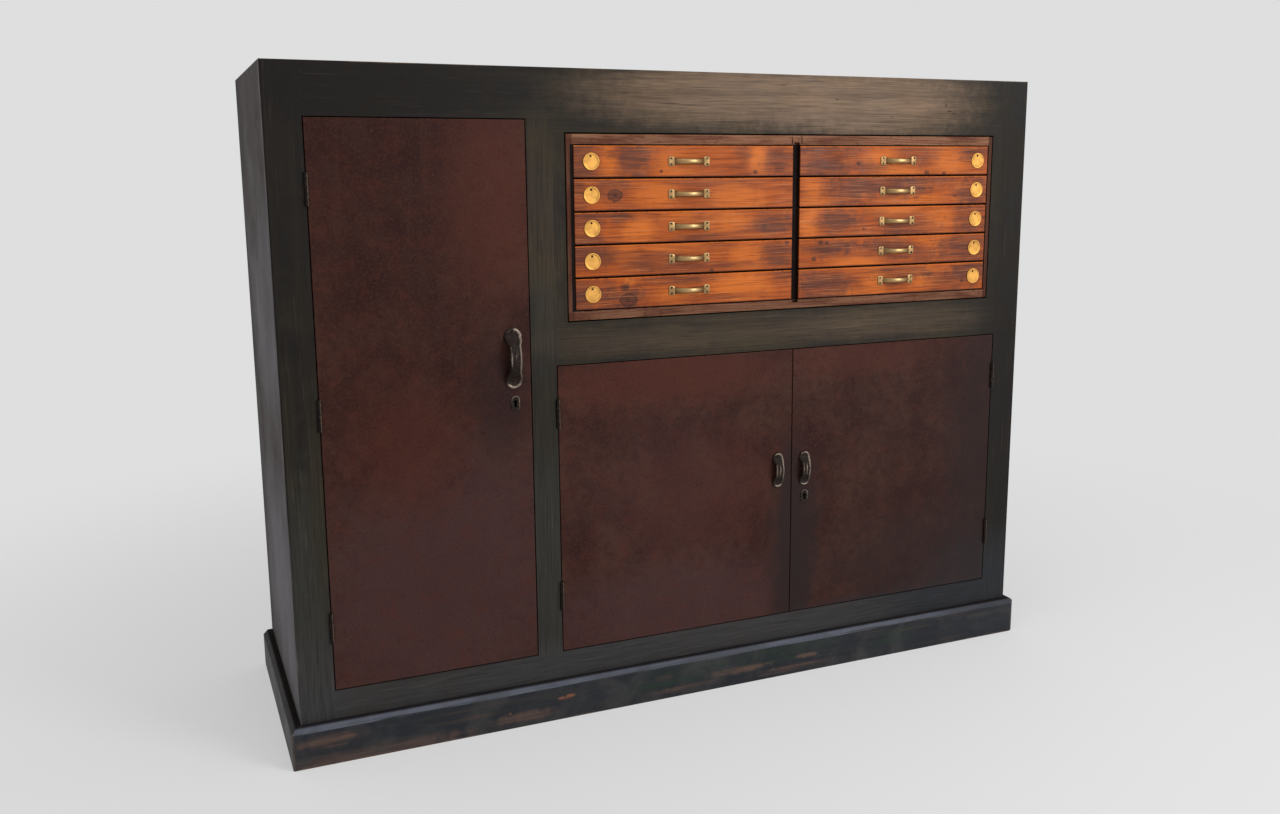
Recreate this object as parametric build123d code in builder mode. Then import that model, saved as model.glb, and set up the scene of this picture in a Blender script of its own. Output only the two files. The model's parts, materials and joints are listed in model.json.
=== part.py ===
from build123d import *
import os

# A floor-standing workshop cabinet: a tall cupboard on the left, a nest of shallow drawers in two
# columns at the upper right and a pair of cupboard doors below the nest, all on a bevelled plinth.
# Millimetres, +Z up, +X to the right as seen from the front, the front face towards -Y.
# The origin is on the floor below the middle of the whole outline, pulls and plinth included.

# Body and face frame
body_width = 1676.0
body_depth = 532.0
body_height = 1318.0
frame_thickness = 22.0
stile_width = 67.0
mid_stile_width = 52.0
tall_opening_width = 411.0
top_rail_width = 96.0
mid_rail_width = 60.0
bottom_rail_width = 110.0
bottom_rail_show = 57.0
corner_round = 2.5
tenon_length = 30.0
tenon_thickness = 8.0
tenon_shoulder = 10.0
mortise_room = 1.0

# Boards behind the frame
side_thickness = 20.0
top_thickness = 20.0
floor_thickness = 20.0
floor_step = 8.0
partition_thickness = 20.0
deck_thickness = 20.0
housing_depth = 6.0
back_thickness = 14.0
back_rebate = 10.0
back_foot_room = 60.0
back_board_count = 14
back_board_gap = 0.6
back_tongue_length = 6.0
back_tongue_thickness = 5.0
back_tongue_room = 0.3

# Shelves and the cleats that carry them
shelf_thickness = 18.0
shelf_setback = 60.0
shelf_room = 0.5
tall_shelf_shares = (0.315, 0.657)
lower_shelf_share = 0.4825
cleat_size = 20.0
cleat_setback = 25.0

# Plinth
plinth_height = 82.0
plinth_thickness = 20.0
plinth_bevel = 10.0
plinth_round = 3.0
plinth_left_corner_round = 3.0
plinth_right_corner_round = 18.0

# Drawer nest: mitred surround, casing and runners
surround_width = 25.0
nest_gap = 3.0
casing_back_room = 63.0
casing_side_left = 14.0
casing_side_right = 9.0
casing_top = 20.0
casing_bottom = 18.0
divider_thickness = 14.0
divider_setback = 8.0
divider_housing = 6.0
runner_projection = 7.0
runner_height = 10.0
runner_rise = 29.0
runner_setback = 32.0
runner_end_room = 8.0

# Drawers
drawer_rows = 5
drawer_height = 62.0
drawer_gap = 3.2
drawer_side_gap = 1.5
drawer_back_room = 25.0
drawer_front_thickness = 18.0
drawer_arris = 1.2
drawer_lap = 6.0
tray_side = 13.0
tray_lift = 2.0
tray_top_room = 6.0
tray_back = 12.0
tray_back_drop = 4.0
tray_bottom = 5.0
tray_bottom_rise = 6.0
tray_groove = 4.0
runner_groove_depth = 6.0
runner_rest_gap = 0.3
runner_slack = 0.7

# Drawer pulls and tags
drawer_pull_length = 93.0
drawer_pull_reach = 18.0
drawer_pull_offset = 2.5
drawer_pull_bar_height = 10.5
drawer_pull_bar_thickness = 2.8
drawer_pull_foot_width = 14.5
drawer_pull_foot_height = 20.0
drawer_pull_foot_thickness = 2.4
drawer_pull_foot_round = 2.0
drawer_pull_foot_overlap = 3.0
tag_diameter = 34.0
tag_thickness = 1.4
tag_rim_width = 2.2
tag_rim_height = 0.5
tag_hole_radius = 2.2
tag_hole_rise = 11.5
tag_inset_left = 36.0
tag_inset_right = 29.0

# Doors
door_thickness = 20.0
door_gap = 2.0
door_arris = 1.0

# Butt hinges
hinge_length = 60.0
hinge_leaf_width = 20.0
hinge_leaf_thickness = 1.8
hinge_knuckle_count = 5
hinge_knuckle_gap = 0.3
knuckle_radius = 4.2
knuckle_room = 0.4
pin_radius = 2.0
pin_clearance = 0.05
pin_proud = 1.5
tall_hinge_inset = 128.0
lower_hinge_inset_top = 98.0
lower_hinge_inset_bottom = 122.0

# Cast bow pulls on the doors
tall_pull_length = 123.0
tall_pull_lobe = 37.0
tall_pull_grip = 24.5
tall_pull_reach = 26.0
tall_pull_inset = 35.0
tall_pull_height_share = 0.576
lower_pull_length = 79.0
lower_pull_lobe = 27.0
lower_pull_grip = 20.5
lower_pull_reach = 16.0
lower_left_pull_inset = 34.0
lower_left_pull_height_share = 0.556
lower_right_pull_inset = 31.0
lower_right_pull_height_share = 0.552
pull_thickness = 5.5
pull_foot_thickness = 4.0
pull_neck_radius = 5.0
pull_spring_share = 0.38
pull_inner_share = 0.80

# Keyholes, escutcheons and rim locks
escutcheon_width = 17.0
escutcheon_height = 31.0
escutcheon_thickness = 2.0
keyhole_radius = 4.0
keyhole_slot_width = 5.0
keyhole_drop = 11.0
tall_lock_inset = 33.0
tall_lock_drop = 25.0
lower_lock_inset = 32.5
lower_lock_drop = 22.0
lock_width = 64.0
lock_depth = 12.0
lock_wall = 2.0
lock_drop = 18.0
lock_rise = 26.0
lock_edge_inset = 1.5
key_sweep_radius = 11.0
lock_bolt_length = 44.0
lock_bolt_height = 14.0
lock_bolt_rise = 7.0
lock_bolt_thickness = 6.0
lock_bolt_gap = 0.3
lock_bolt_inset = 0.5
lock_talon_radius = 4.5

# Tower bolts inside the lower left door
tower_inset = 30.0
tower_plate_length = 76.0
tower_plate_width = 24.0
tower_plate_thickness = 2.0
tower_keep_length = 9.0
tower_keep_width = 16.0
tower_keep_wall = 1.0
tower_rod_radius = 4.0
tower_rod_length = 84.0
tower_rod_gap = 0.3
tower_tip_show = 5.0
tower_tip_clear = 1.5
tower_knob_radius = 3.0
tower_knob_length = 10.0
tower_hole_room = 0.8

# One overrun carries every cut past the face that it leaves through.
overrun = 5.0

# Places of the main faces
front_reach = max(tall_pull_reach, lower_pull_reach, drawer_pull_reach, plinth_thickness)
front = (front_reach - body_depth) / 2
frame_back = front + frame_thickness
door_back = front + door_thickness
back = front + body_depth
back_inner = back - back_thickness
left = -body_width / 2
right = body_width / 2
inside_left = left + side_thickness
inside_right = right - side_thickness
tall_left = left + stile_width
tall_right = tall_left + tall_opening_width
pair_left = tall_right + mid_stile_width
pair_right = right - stile_width
meeting_x = (pair_left + pair_right) / 2
opening_low = plinth_height + bottom_rail_show
opening_top = body_height - top_rail_width
row_pitch = drawer_height + drawer_gap
nest_height = drawer_rows * row_pitch + casing_bottom + casing_top + 2 * (nest_gap + surround_width)
nest_low = opening_top - nest_height
pair_top = nest_low - mid_rail_width
tall_opening_height = opening_top - opening_low
pair_opening_height = pair_top - opening_low
floor_top = opening_low + floor_step
floor_low = floor_top - floor_thickness
top_low = body_height - top_thickness
partition_left = (tall_right + pair_left - partition_thickness) / 2
partition_right = partition_left + partition_thickness

# Places of the nest
aperture_left = pair_left + surround_width
aperture_right = pair_right - surround_width
aperture_low = nest_low + surround_width
aperture_top = opening_top - surround_width
case_left = aperture_left + nest_gap
case_right = aperture_right - nest_gap
case_low = aperture_low + nest_gap
case_top = aperture_top - nest_gap
case_back = back_inner - casing_back_room
drawer_depth = case_back - front - drawer_back_room
runner_length = drawer_depth - runner_setback - runner_end_room
deck_low = case_low - deck_thickness
bay_left_wall = case_left + casing_side_left
bay_right_wall = case_right - casing_side_right
divider_left = (bay_left_wall + bay_right_wall - divider_thickness) / 2
divider_right = divider_left + divider_thickness
bay_low = case_low + casing_bottom
bay_top = case_top - casing_top
tray_height = drawer_height - tray_lift - tray_top_room
bay_lefts = (bay_left_wall, divider_right)
bay_width = divider_left - bay_left_wall
drawer_width = bay_width - 2 * drawer_side_gap

# Places of the doors and their hinge pins
door_low = opening_low + door_gap
tall_door_left = tall_left + door_gap
tall_door_right = tall_right - door_gap
tall_door_top = opening_top - door_gap
pair_door_left = pair_left + door_gap
pair_door_right = pair_right - door_gap
pair_door_top = pair_top - door_gap
left_door_edge = meeting_x - door_gap / 2
right_door_edge = meeting_x + door_gap / 2
pin_y = front - pin_proud
tall_pin_x = tall_left + door_gap / 2
left_pin_x = pair_left + door_gap / 2
right_pin_x = pair_right - door_gap / 2
tall_hinge_top = opening_top - tall_hinge_inset
tall_hinge_low = opening_low + tall_hinge_inset
tall_hinges = (tall_hinge_low, (tall_hinge_low + tall_hinge_top) / 2, tall_hinge_top)
lower_hinges = (opening_low + lower_hinge_inset_bottom, pair_top - lower_hinge_inset_top)
frame_knuckles = range(0, hinge_knuckle_count, 2)
door_knuckles = range(1, hinge_knuckle_count, 2)

# Places of the pulls and locks
tall_pull_x = tall_door_right - tall_pull_inset
left_pull_x = left_door_edge - lower_left_pull_inset
right_pull_x = right_door_edge + lower_right_pull_inset
tall_pull_z = opening_low + tall_pull_height_share * tall_opening_height
left_pull_z = opening_low + lower_left_pull_height_share * pair_opening_height
right_pull_z = opening_low + lower_right_pull_height_share * pair_opening_height
tall_key_x = tall_door_right - tall_lock_inset
tall_key_z = tall_pull_z - tall_pull_length / 2 - tall_lock_drop
lower_key_x = right_door_edge + lower_lock_inset
lower_key_z = right_pull_z - lower_pull_length / 2 - lower_lock_drop
lock_bolt_front = door_back + (lock_depth - lock_bolt_thickness) / 2
lock_bolt_back = lock_bolt_front + lock_bolt_thickness
tower_x = left_door_edge - tower_inset
tower_y = door_back + tower_plate_thickness + tower_keep_wall + tower_rod_radius
tower_top_tip = pair_door_top - tower_tip_clear
tower_low_tip = floor_top + tower_tip_clear

os.makedirs("parts", exist_ok=True)


def write(piece, name):
    """Labels a finished piece and writes it under that name."""
    piece.label = name
    export_step(piece, f"parts/{name}.step")


def plank(corner, opposite, mode=Mode.ADD):
    """A board, or the cut for one, between two opposite corners in the current part."""
    low = [min(pair) for pair in zip(corner, opposite)]
    high = [max(pair) for pair in zip(corner, opposite)]
    size = [top - bottom for bottom, top in zip(low, high)]
    with Locations(tuple(low)):
        Box(*size, align=(Align.MIN, Align.MIN, Align.MIN), mode=mode)


def face_tenon(x_span, z_span, mode=Mode.ADD):
    """A tenon, or the mortise for one, in the middle of the frame's thickness."""
    tenon_front = front + (frame_thickness - tenon_thickness) / 2
    tenon_back = tenon_front + tenon_thickness
    plank((x_span[0], tenon_front, z_span[0]), (x_span[1], tenon_back, z_span[1]), mode)


def rail_tenon(shoulder_x, outward, z_span, room=0, mode=Mode.ADD):
    """The tenon on one end of a rail, set in from both of the rail's edges."""
    x_span = (shoulder_x, shoulder_x + outward * (tenon_length + room))
    face_tenon(x_span, (z_span[0] + tenon_shoulder, z_span[1] - tenon_shoulder), mode)


def mid_stile_tenon(shoulder_z, outward, room=0, mode=Mode.ADD):
    """The tenon on the top or foot of the mid stile."""
    z_span = (shoulder_z, shoulder_z + outward * (tenon_length + room))
    face_tenon((tall_right + tenon_shoulder, pair_left - tenon_shoulder), z_span, mode)


def hinge_bed(pin_x, side, height):
    """Cuts the bed for one hinge leaf and the notch round its knuckles, on the given side of the pin."""
    edge = pin_x + side * door_gap / 2
    low = height - hinge_length / 2
    high = height + hinge_length / 2
    bed_back = front + hinge_leaf_width
    plank((pin_x, front - overrun, low), (edge + side * hinge_leaf_thickness, bed_back, high), Mode.SUBTRACT)
    with Locations((pin_x, pin_y, height)):
        Cylinder(knuckle_radius + knuckle_room, hinge_length + 2 * knuckle_room, mode=Mode.SUBTRACT)


def hinge_leaf(pin_x, side, height, knuckles):
    """One hinge leaf: a plate let into the wood, and its share of the knuckles round the pin."""
    inner = pin_x + side * door_gap / 2
    outer = inner + side * hinge_leaf_thickness
    low = height - hinge_length / 2
    plate_front = pin_y + knuckle_radius + knuckle_room
    plank((inner, plate_front, low), (outer, front + hinge_leaf_width, low + hinge_length))
    pitch = hinge_length / hinge_knuckle_count
    for knuckle in knuckles:
        with BuildSketch(Plane.XY.offset(low + knuckle * pitch + hinge_knuckle_gap / 2)) as knuckle_outline:
            with Locations((pin_x, pin_y)):
                Circle(knuckle_radius)
            with Locations(((inner + outer) / 2, (pin_y + plate_front) / 2)):
                Rectangle(hinge_leaf_thickness, plate_front - pin_y)
            with Locations((pin_x, pin_y)):
                Circle(pin_radius + pin_clearance, mode=Mode.SUBTRACT)
        extrude(knuckle_outline.sketch, amount=pitch - hinge_knuckle_gap)


def cut_keyhole(key_x, key_z, start_y, end_y):
    """Cuts a keyhole, a round eye over a slot, between two depths."""
    with BuildSketch(Plane.XZ.offset(-end_y)) as keyhole:
        with Locations((key_x, key_z)):
            Circle(keyhole_radius)
        with Locations((key_x, key_z - keyhole_drop / 2)):
            Rectangle(keyhole_slot_width, keyhole_drop)
    extrude(keyhole.sketch, amount=end_y - start_y, mode=Mode.SUBTRACT)


# Side panels, housed for the floor, rebated for the top board and the back


def side_panel(hand):
    """The left (-1) or right (+1) side panel. The right one is also housed for the drawer deck."""
    outer = hand * body_width / 2
    inner = outer - hand * side_thickness
    housing = inner + hand * housing_depth
    rebate = inner + hand * back_rebate
    clear = inner - hand * overrun
    with BuildPart() as panel:
        plank((outer, frame_back, 0), (inner, back, body_height))
        plank((housing, frame_back, top_low), (clear, back_inner, body_height), Mode.SUBTRACT)
        plank((housing, frame_back, floor_low), (clear, back_inner, floor_top), Mode.SUBTRACT)
        plank((rebate, back_inner, back_foot_room), (clear, back, body_height), Mode.SUBTRACT)
        if hand > 0:
            plank((housing, frame_back, deck_low), (clear, back_inner, case_low), Mode.SUBTRACT)
    return panel.part


write(side_panel(-1), "left_side_panel")
write(side_panel(1), "right_side_panel")

# Top, floor, partition and drawer deck

with BuildPart() as top_board:
    plank(
        (inside_left - housing_depth, frame_back, top_low),
        (inside_right + housing_depth, back_inner, body_height),
    )
    plank(
        (partition_left, frame_back, top_low - overrun),
        (partition_right, back_inner, top_low + housing_depth),
        Mode.SUBTRACT,
    )
write(top_board.part, "top_board")

with BuildPart() as floor_board:
    plank(
        (inside_left - housing_depth, frame_back, floor_low),
        (inside_right + housing_depth, back_inner, floor_top),
    )
    plank(
        (partition_left, frame_back, floor_top - housing_depth),
        (partition_right, back_inner, floor_top + overrun),
        Mode.SUBTRACT,
    )
    with Locations((tower_x, tower_y, (floor_low + floor_top) / 2)):
        Cylinder(tower_rod_radius + tower_hole_room, floor_thickness + overrun, mode=Mode.SUBTRACT)
write(floor_board.part, "floor_board")

with BuildPart() as partition:
    plank(
        (partition_left, frame_back, floor_top - housing_depth),
        (partition_right, back_inner, top_low + housing_depth),
    )
    plank(
        (partition_right - housing_depth, frame_back, deck_low),
        (partition_right + overrun, back_inner, case_low),
        Mode.SUBTRACT,
    )
write(partition.part, "partition")

with BuildPart() as drawer_deck:
    plank(
        (partition_right - housing_depth, frame_back, deck_low),
        (inside_right + housing_depth, back_inner, case_low),
    )
write(drawer_deck.part, "drawer_deck")

# Back of tongued and grooved boards

back_left = inside_left - back_rebate
back_pitch = (inside_right + back_rebate - back_left) / back_board_count
back_middle = (back_inner + back) / 2

with BuildPart() as back_boards:
    for board in range(back_board_count):
        board_left = back_left + board * back_pitch
        board_right = board_left + back_pitch - back_board_gap
        if board == back_board_count - 1:
            board_right = inside_right + back_rebate
        with BuildSketch(Plane.XY.offset(back_foot_room)):
            with Locations(((board_left + board_right) / 2, back_middle)):
                Rectangle(board_right - board_left, back_thickness)
            if board < back_board_count - 1:
                with Locations((board_right, back_middle)):
                    Rectangle(2 * back_tongue_length, back_tongue_thickness)
            if board > 0:
                groove_half = back_tongue_length - back_board_gap + back_tongue_room
                with Locations((board_left, back_middle)):
                    Rectangle(
                        2 * groove_half,
                        back_tongue_thickness + 2 * back_tongue_room,
                        mode=Mode.SUBTRACT,
                    )
        extrude(amount=body_height - back_foot_room)
write(back_boards.part, "back_boards")

# Shelves and cleats

shelf_front = frame_back + shelf_setback
tall_bay = (inside_left, partition_left)
lower_bay = (partition_right, inside_right)
shelf_places = [(tall_bay, opening_low + share * tall_opening_height) for share in tall_shelf_shares]
shelf_places.append((lower_bay, opening_low + lower_shelf_share * pair_opening_height))

with BuildPart() as shelves:
    for bay, height in shelf_places:
        plank(
            (bay[0] + shelf_room, shelf_front, height),
            (bay[1] - shelf_room, back_inner - shelf_room, height + shelf_thickness),
        )
write(shelves.part, "shelves")

with BuildPart() as shelf_cleats:
    for bay, height in shelf_places:
        cleat_front = shelf_front + cleat_setback
        plank((bay[0], cleat_front, height - cleat_size), (bay[0] + cleat_size, back_inner, height))
        plank((bay[1] - cleat_size, cleat_front, height - cleat_size), (bay[1], back_inner, height))
write(shelf_cleats.part, "shelf_cleats")

# Face frame: stiles run from floor to top, rails are tenoned between them


def outer_stile(hand):
    """The left (-1) or right (+1) stile, with its outer arris rounded and hinge beds in its inner edge."""
    outer = hand * body_width / 2
    inner = outer - hand * stile_width
    with BuildPart() as stile:
        plank((outer, front, 0), (inner, frame_back, body_height))
        outer_face = stile.faces().sort_by(Axis.X)[-1 if hand > 0 else 0]
        fillet(outer_face.edges().filter_by(Axis.Z).sort_by(Axis.Y)[0], radius=corner_round)
        rail_tenon(inner, hand, (opening_top, body_height), mortise_room, Mode.SUBTRACT)
        rail_tenon(inner, hand, (opening_low - bottom_rail_width, opening_low), mortise_room, Mode.SUBTRACT)
        if hand > 0:
            rail_tenon(inner, hand, (pair_top, nest_low), mortise_room, Mode.SUBTRACT)
            for height in lower_hinges:
                hinge_bed(right_pin_x, 1, height)
        else:
            for height in tall_hinges:
                hinge_bed(tall_pin_x, -1, height)
    return stile.part


write(outer_stile(-1), "left_stile")
write(outer_stile(1), "right_stile")

with BuildPart() as mid_stile:
    plank((tall_right, front, opening_low), (pair_left, frame_back, opening_top))
    mid_stile_tenon(opening_top, 1)
    mid_stile_tenon(opening_low, -1)
    rail_tenon(pair_left, -1, (pair_top, nest_low), mortise_room, Mode.SUBTRACT)
    for height in lower_hinges:
        hinge_bed(left_pin_x, -1, height)
write(mid_stile.part, "mid_stile")

with BuildPart() as top_rail:
    plank((tall_left, front, opening_top), (pair_right, frame_back, body_height))
    rail_tenon(tall_left, -1, (opening_top, body_height))
    rail_tenon(pair_right, 1, (opening_top, body_height))
    mid_stile_tenon(opening_top, 1, mortise_room, Mode.SUBTRACT)
write(top_rail.part, "top_rail")

with BuildPart() as mid_rail:
    plank((pair_left, front, pair_top), (pair_right, frame_back, nest_low))
    rail_tenon(pair_left, -1, (pair_top, nest_low))
    rail_tenon(pair_right, 1, (pair_top, nest_low))
write(mid_rail.part, "mid_rail")

with BuildPart() as bottom_rail:
    bottom_rail_low = opening_low - bottom_rail_width
    plank((tall_left, front, bottom_rail_low), (pair_right, frame_back, opening_low))
    rail_tenon(tall_left, -1, (bottom_rail_low, opening_low))
    rail_tenon(pair_right, 1, (bottom_rail_low, opening_low))
    mid_stile_tenon(opening_low, -1, mortise_room, Mode.SUBTRACT)
write(bottom_rail.part, "bottom_rail")

# Mitred surround of the drawer nest

outer_corners = [
    (pair_left, nest_low),
    (pair_right, nest_low),
    (pair_right, opening_top),
    (pair_left, opening_top),
]
inner_corners = [
    (aperture_left, aperture_low),
    (aperture_right, aperture_low),
    (aperture_right, aperture_top),
    (aperture_left, aperture_top),
]
surround_strips = []
for strip in range(len(outer_corners)):
    following = (strip + 1) % len(outer_corners)
    with BuildPart() as surround_strip:
        with BuildSketch(Plane.XZ.offset(-frame_back)):
            with BuildLine():
                Polyline(
                    outer_corners[strip],
                    outer_corners[following],
                    inner_corners[following],
                    inner_corners[strip],
                    close=True,
                )
            make_face()
        extrude(amount=frame_thickness)
    surround_strips.append(surround_strip.part)
write(Compound(children=surround_strips), "drawer_surround")

# Plinth: a front board and two returns, mitred at the front corners


def plinth_outline(inner, outward):
    """The plinth's section: a board with its top outer edge bevelled and the bevel's edges worn round."""
    outer = inner + outward * plinth_thickness
    shoulder_z = plinth_height - plinth_bevel
    with BuildLine() as section:
        FilletPolyline(
            (inner, 0),
            (outer, 0),
            (outer, shoulder_z),
            (outer - outward * plinth_bevel, plinth_height),
            (inner, plinth_height),
            radius=(0, plinth_round, plinth_round),
        )
        Line((inner, plinth_height), (inner, 0))
    make_face(section.edges())


def mitre_plane(hand):
    """The upright plane of the front corner's mitre, facing the front board."""
    corner = (hand * (body_width / 2 + plinth_thickness), front - plinth_thickness, 0)
    return Plane(origin=corner, x_dir=(0, 0, 1), z_dir=(-hand, -1, 0))


def round_corners():
    """Trims a plinth board to the plinth's plan, whose front corners are worn round, the right one most."""
    outer = body_width / 2 + plinth_thickness
    with BuildSketch() as plan:
        with BuildLine():
            FilletPolyline(
                (-outer, back + overrun),
                (-outer, front - plinth_thickness),
                (outer, front - plinth_thickness),
                (outer, back + overrun),
                radius=(plinth_left_corner_round, plinth_right_corner_round),
            )
            Line((outer, back + overrun), (-outer, back + overrun))
        make_face()
    extrude(plan.sketch, amount=plinth_height, mode=Mode.INTERSECT)


with BuildPart() as plinth_front:
    with BuildSketch(Plane.YZ.offset(left - plinth_thickness)):
        plinth_outline(front, -1)
    extrude(amount=body_width + 2 * plinth_thickness)
    split(bisect_by=mitre_plane(-1), keep=Keep.TOP)
    split(bisect_by=mitre_plane(1), keep=Keep.TOP)
    round_corners()
write(plinth_front.part, "plinth_front")

plinth_returns = []
for hand in (-1, 1):
    with BuildPart() as plinth_return:
        with BuildSketch(Plane.XZ.offset(-back)):
            plinth_outline(hand * body_width / 2, hand)
        extrude(amount=back - front + plinth_thickness)
        split(bisect_by=mitre_plane(hand), keep=Keep.BOTTOM)
        round_corners()
    plinth_returns.append(plinth_return.part)
write(Compound(children=plinth_returns), "plinth_returns")

# Drawer casing and its runners

with BuildPart() as casing_left:
    plank((case_left, front, case_low), (bay_left_wall, case_back, case_top))

with BuildPart() as casing_right:
    plank((bay_right_wall, front, case_low), (case_right, case_back, case_top))

with BuildPart() as casing_lid:
    plank((bay_left_wall, front, bay_top), (bay_right_wall, case_back, case_top))
    plank(
        (divider_left, front - overrun, bay_top - overrun),
        (divider_right, case_back, bay_top + divider_housing),
        Mode.SUBTRACT,
    )

with BuildPart() as casing_base:
    plank((bay_left_wall, front, case_low), (bay_right_wall, case_back, bay_low))
    plank(
        (divider_left, front - overrun, bay_low - divider_housing),
        (divider_right, case_back, bay_low + overrun),
        Mode.SUBTRACT,
    )

with BuildPart() as casing_divider:
    plank(
        (divider_left, front + divider_setback, bay_low - divider_housing),
        (divider_right, case_back, bay_top + divider_housing),
    )
casing_boards = [casing_left.part, casing_right.part, casing_lid.part, casing_base.part, casing_divider.part]
write(Compound(children=casing_boards), "drawer_casing")

with BuildPart() as drawer_runners:
    runner_front = front + runner_setback
    for bay_left in bay_lefts:
        for row in range(drawer_rows):
            runner_low = bay_low + row * row_pitch + drawer_gap / 2 + runner_rise
            runner_high = runner_low + runner_height
            for wall, inward in ((bay_left, 1), (bay_left + bay_width, -1)):
                plank(
                    (wall, runner_front, runner_low),
                    (wall + inward * runner_projection, runner_front + runner_length, runner_high),
                )
write(drawer_runners.part, "drawer_runners")

# Drawers


def tray_side_board(outer, inward, low):
    """A drawer side, grooved outside for its runner and inside for the drawer's bottom."""
    inner = outer + inward * tray_side
    side_low = low + tray_lift
    bottom_low = side_low + tray_bottom_rise
    groove_front = front + runner_setback - runner_rest_gap
    with BuildPart() as board:
        plank((outer, front + drawer_lap, side_low), (inner, front + drawer_depth, side_low + tray_height))
        plank(
            (outer - inward * overrun, groove_front, low + runner_rise - runner_slack),
            (
                outer + inward * runner_groove_depth,
                front + drawer_depth + overrun,
                low + runner_rise + runner_height + runner_rest_gap,
            ),
            Mode.SUBTRACT,
        )
        plank(
            (inner - inward * tray_groove, front + drawer_front_thickness - tray_groove, bottom_low),
            (inner + inward * overrun, front + drawer_depth + overrun, bottom_low + tray_bottom),
            Mode.SUBTRACT,
        )
    return board.part


def drawer_front(drawer_left, low):
    """A drawer front with its arrises eased, lapped over the sides and grooved for the bottom."""
    drawer_right = drawer_left + drawer_width
    front_back = front + drawer_front_thickness
    side_low = low + tray_lift
    bottom_low = side_low + tray_bottom_rise
    with BuildPart() as board:
        plank((drawer_left, front, low), (drawer_right, front_back, low + drawer_height))
        fillet(board.faces().sort_by(Axis.Y)[0].edges(), radius=drawer_arris)
        for outer, inward in ((drawer_left, 1), (drawer_right, -1)):
            plank(
                (outer - inward * overrun, front + drawer_lap, side_low),
                (outer + inward * tray_side, front_back + overrun, side_low + tray_height),
                Mode.SUBTRACT,
            )
        plank(
            (drawer_left + tray_side - tray_groove, front_back - tray_groove, bottom_low),
            (drawer_right - tray_side + tray_groove, front_back + overrun, bottom_low + tray_bottom),
            Mode.SUBTRACT,
        )
    return board.part


def drawer(drawer_left, low):
    """The five boards of one drawer."""
    drawer_right = drawer_left + drawer_width
    tray_end = front + drawer_depth
    side_low = low + tray_lift
    bottom_low = side_low + tray_bottom_rise
    bottom_top = bottom_low + tray_bottom
    with BuildPart() as bottom_board:
        plank(
            (drawer_left + tray_side - tray_groove, front + drawer_front_thickness - tray_groove, bottom_low),
            (drawer_right - tray_side + tray_groove, tray_end, bottom_top),
        )
    with BuildPart() as back_board:
        plank(
            (drawer_left + tray_side, tray_end - tray_back, bottom_top),
            (drawer_right - tray_side, tray_end, side_low + tray_height - tray_back_drop),
        )
    left_board = tray_side_board(drawer_left, 1, low)
    right_board = tray_side_board(drawer_right, -1, low)
    boards = [drawer_front(drawer_left, low), left_board, right_board, back_board.part, bottom_board.part]
    return Compound(children=boards)


def drawer_pull(x, z):
    """A bow pull: a strap bowed out from the front between two screwed feet."""
    bow_half = drawer_pull_length / 2 - drawer_pull_foot_width + drawer_pull_foot_overlap
    inner_half = bow_half - drawer_pull_bar_thickness
    apex = front - drawer_pull_reach
    with BuildPart() as pull:
        with BuildSketch(Plane.XY.offset(z - drawer_pull_bar_height / 2)):
            with BuildLine():
                ThreePointArc((x - bow_half, front), (x, apex), (x + bow_half, front))
                Line((x + bow_half, front), (x + inner_half, front))
                ThreePointArc(
                    (x + inner_half, front),
                    (x, apex + drawer_pull_bar_thickness),
                    (x - inner_half, front),
                )
                Line((x - inner_half, front), (x - bow_half, front))
            make_face()
        extrude(amount=drawer_pull_bar_height)
        foot_offset = (drawer_pull_length - drawer_pull_foot_width) / 2
        with BuildSketch(Plane.XZ.offset(-front)):
            with Locations((x - foot_offset, z), (x + foot_offset, z)):
                RectangleRounded(drawer_pull_foot_width, drawer_pull_foot_height, drawer_pull_foot_round)
        extrude(amount=drawer_pull_foot_thickness)
    return pull.part


def drawer_tag(x, z):
    """A round tag with a raised rim and a hole near its top for a pin."""
    with BuildPart() as tag:
        with BuildSketch(Plane.XZ.offset(-front)):
            with Locations((x, z)):
                Circle(tag_diameter / 2)
        extrude(amount=tag_thickness)
        with BuildSketch(Plane.XZ.offset(tag_thickness - front)):
            with Locations((x, z)):
                Circle(tag_diameter / 2)
                Circle(tag_diameter / 2 - tag_rim_width, mode=Mode.SUBTRACT)
        extrude(amount=tag_rim_height)
        with BuildSketch(Plane.XZ.offset(-front)):
            with Locations((x, z + tag_hole_rise)):
                Circle(tag_hole_radius)
        extrude(amount=tag_thickness, mode=Mode.SUBTRACT)
    return tag.part


for column, bay_left in zip("lr", bay_lefts):
    for row in range(drawer_rows):
        number = drawer_rows - row
        drawer_left = bay_left + drawer_side_gap
        low = bay_low + row * row_pitch + drawer_gap / 2
        middle = low + drawer_height / 2
        tag_x = drawer_left + tag_inset_left
        if column == "r":
            tag_x = drawer_left + drawer_width - tag_inset_right
        write(drawer(drawer_left, low), f"drawer_{column}{number}")
        pull_x = drawer_left + drawer_width / 2 + drawer_pull_offset
        fittings = [drawer_pull(pull_x, middle), drawer_tag(tag_x, middle)]
        write(Compound(children=fittings), f"drawer_fittings_{column}{number}")

# Hinges: leaves on the frame, loose pins, and leaves on each door

frame_hinges = [(tall_pin_x, -1, height) for height in tall_hinges]
frame_hinges += [(left_pin_x, -1, height) for height in lower_hinges]
frame_hinges += [(right_pin_x, 1, height) for height in lower_hinges]

with BuildPart() as frame_hinge_leaves:
    for pin_x, side, height in frame_hinges:
        hinge_leaf(pin_x, side, height, frame_knuckles)
write(frame_hinge_leaves.part, "frame_hinge_leaves")

with BuildPart() as hinge_pins:
    with Locations([(pin_x, pin_y, height) for pin_x, side, height in frame_hinges]):
        Cylinder(pin_radius, hinge_length)
write(hinge_pins.part, "hinge_pins")

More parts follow.
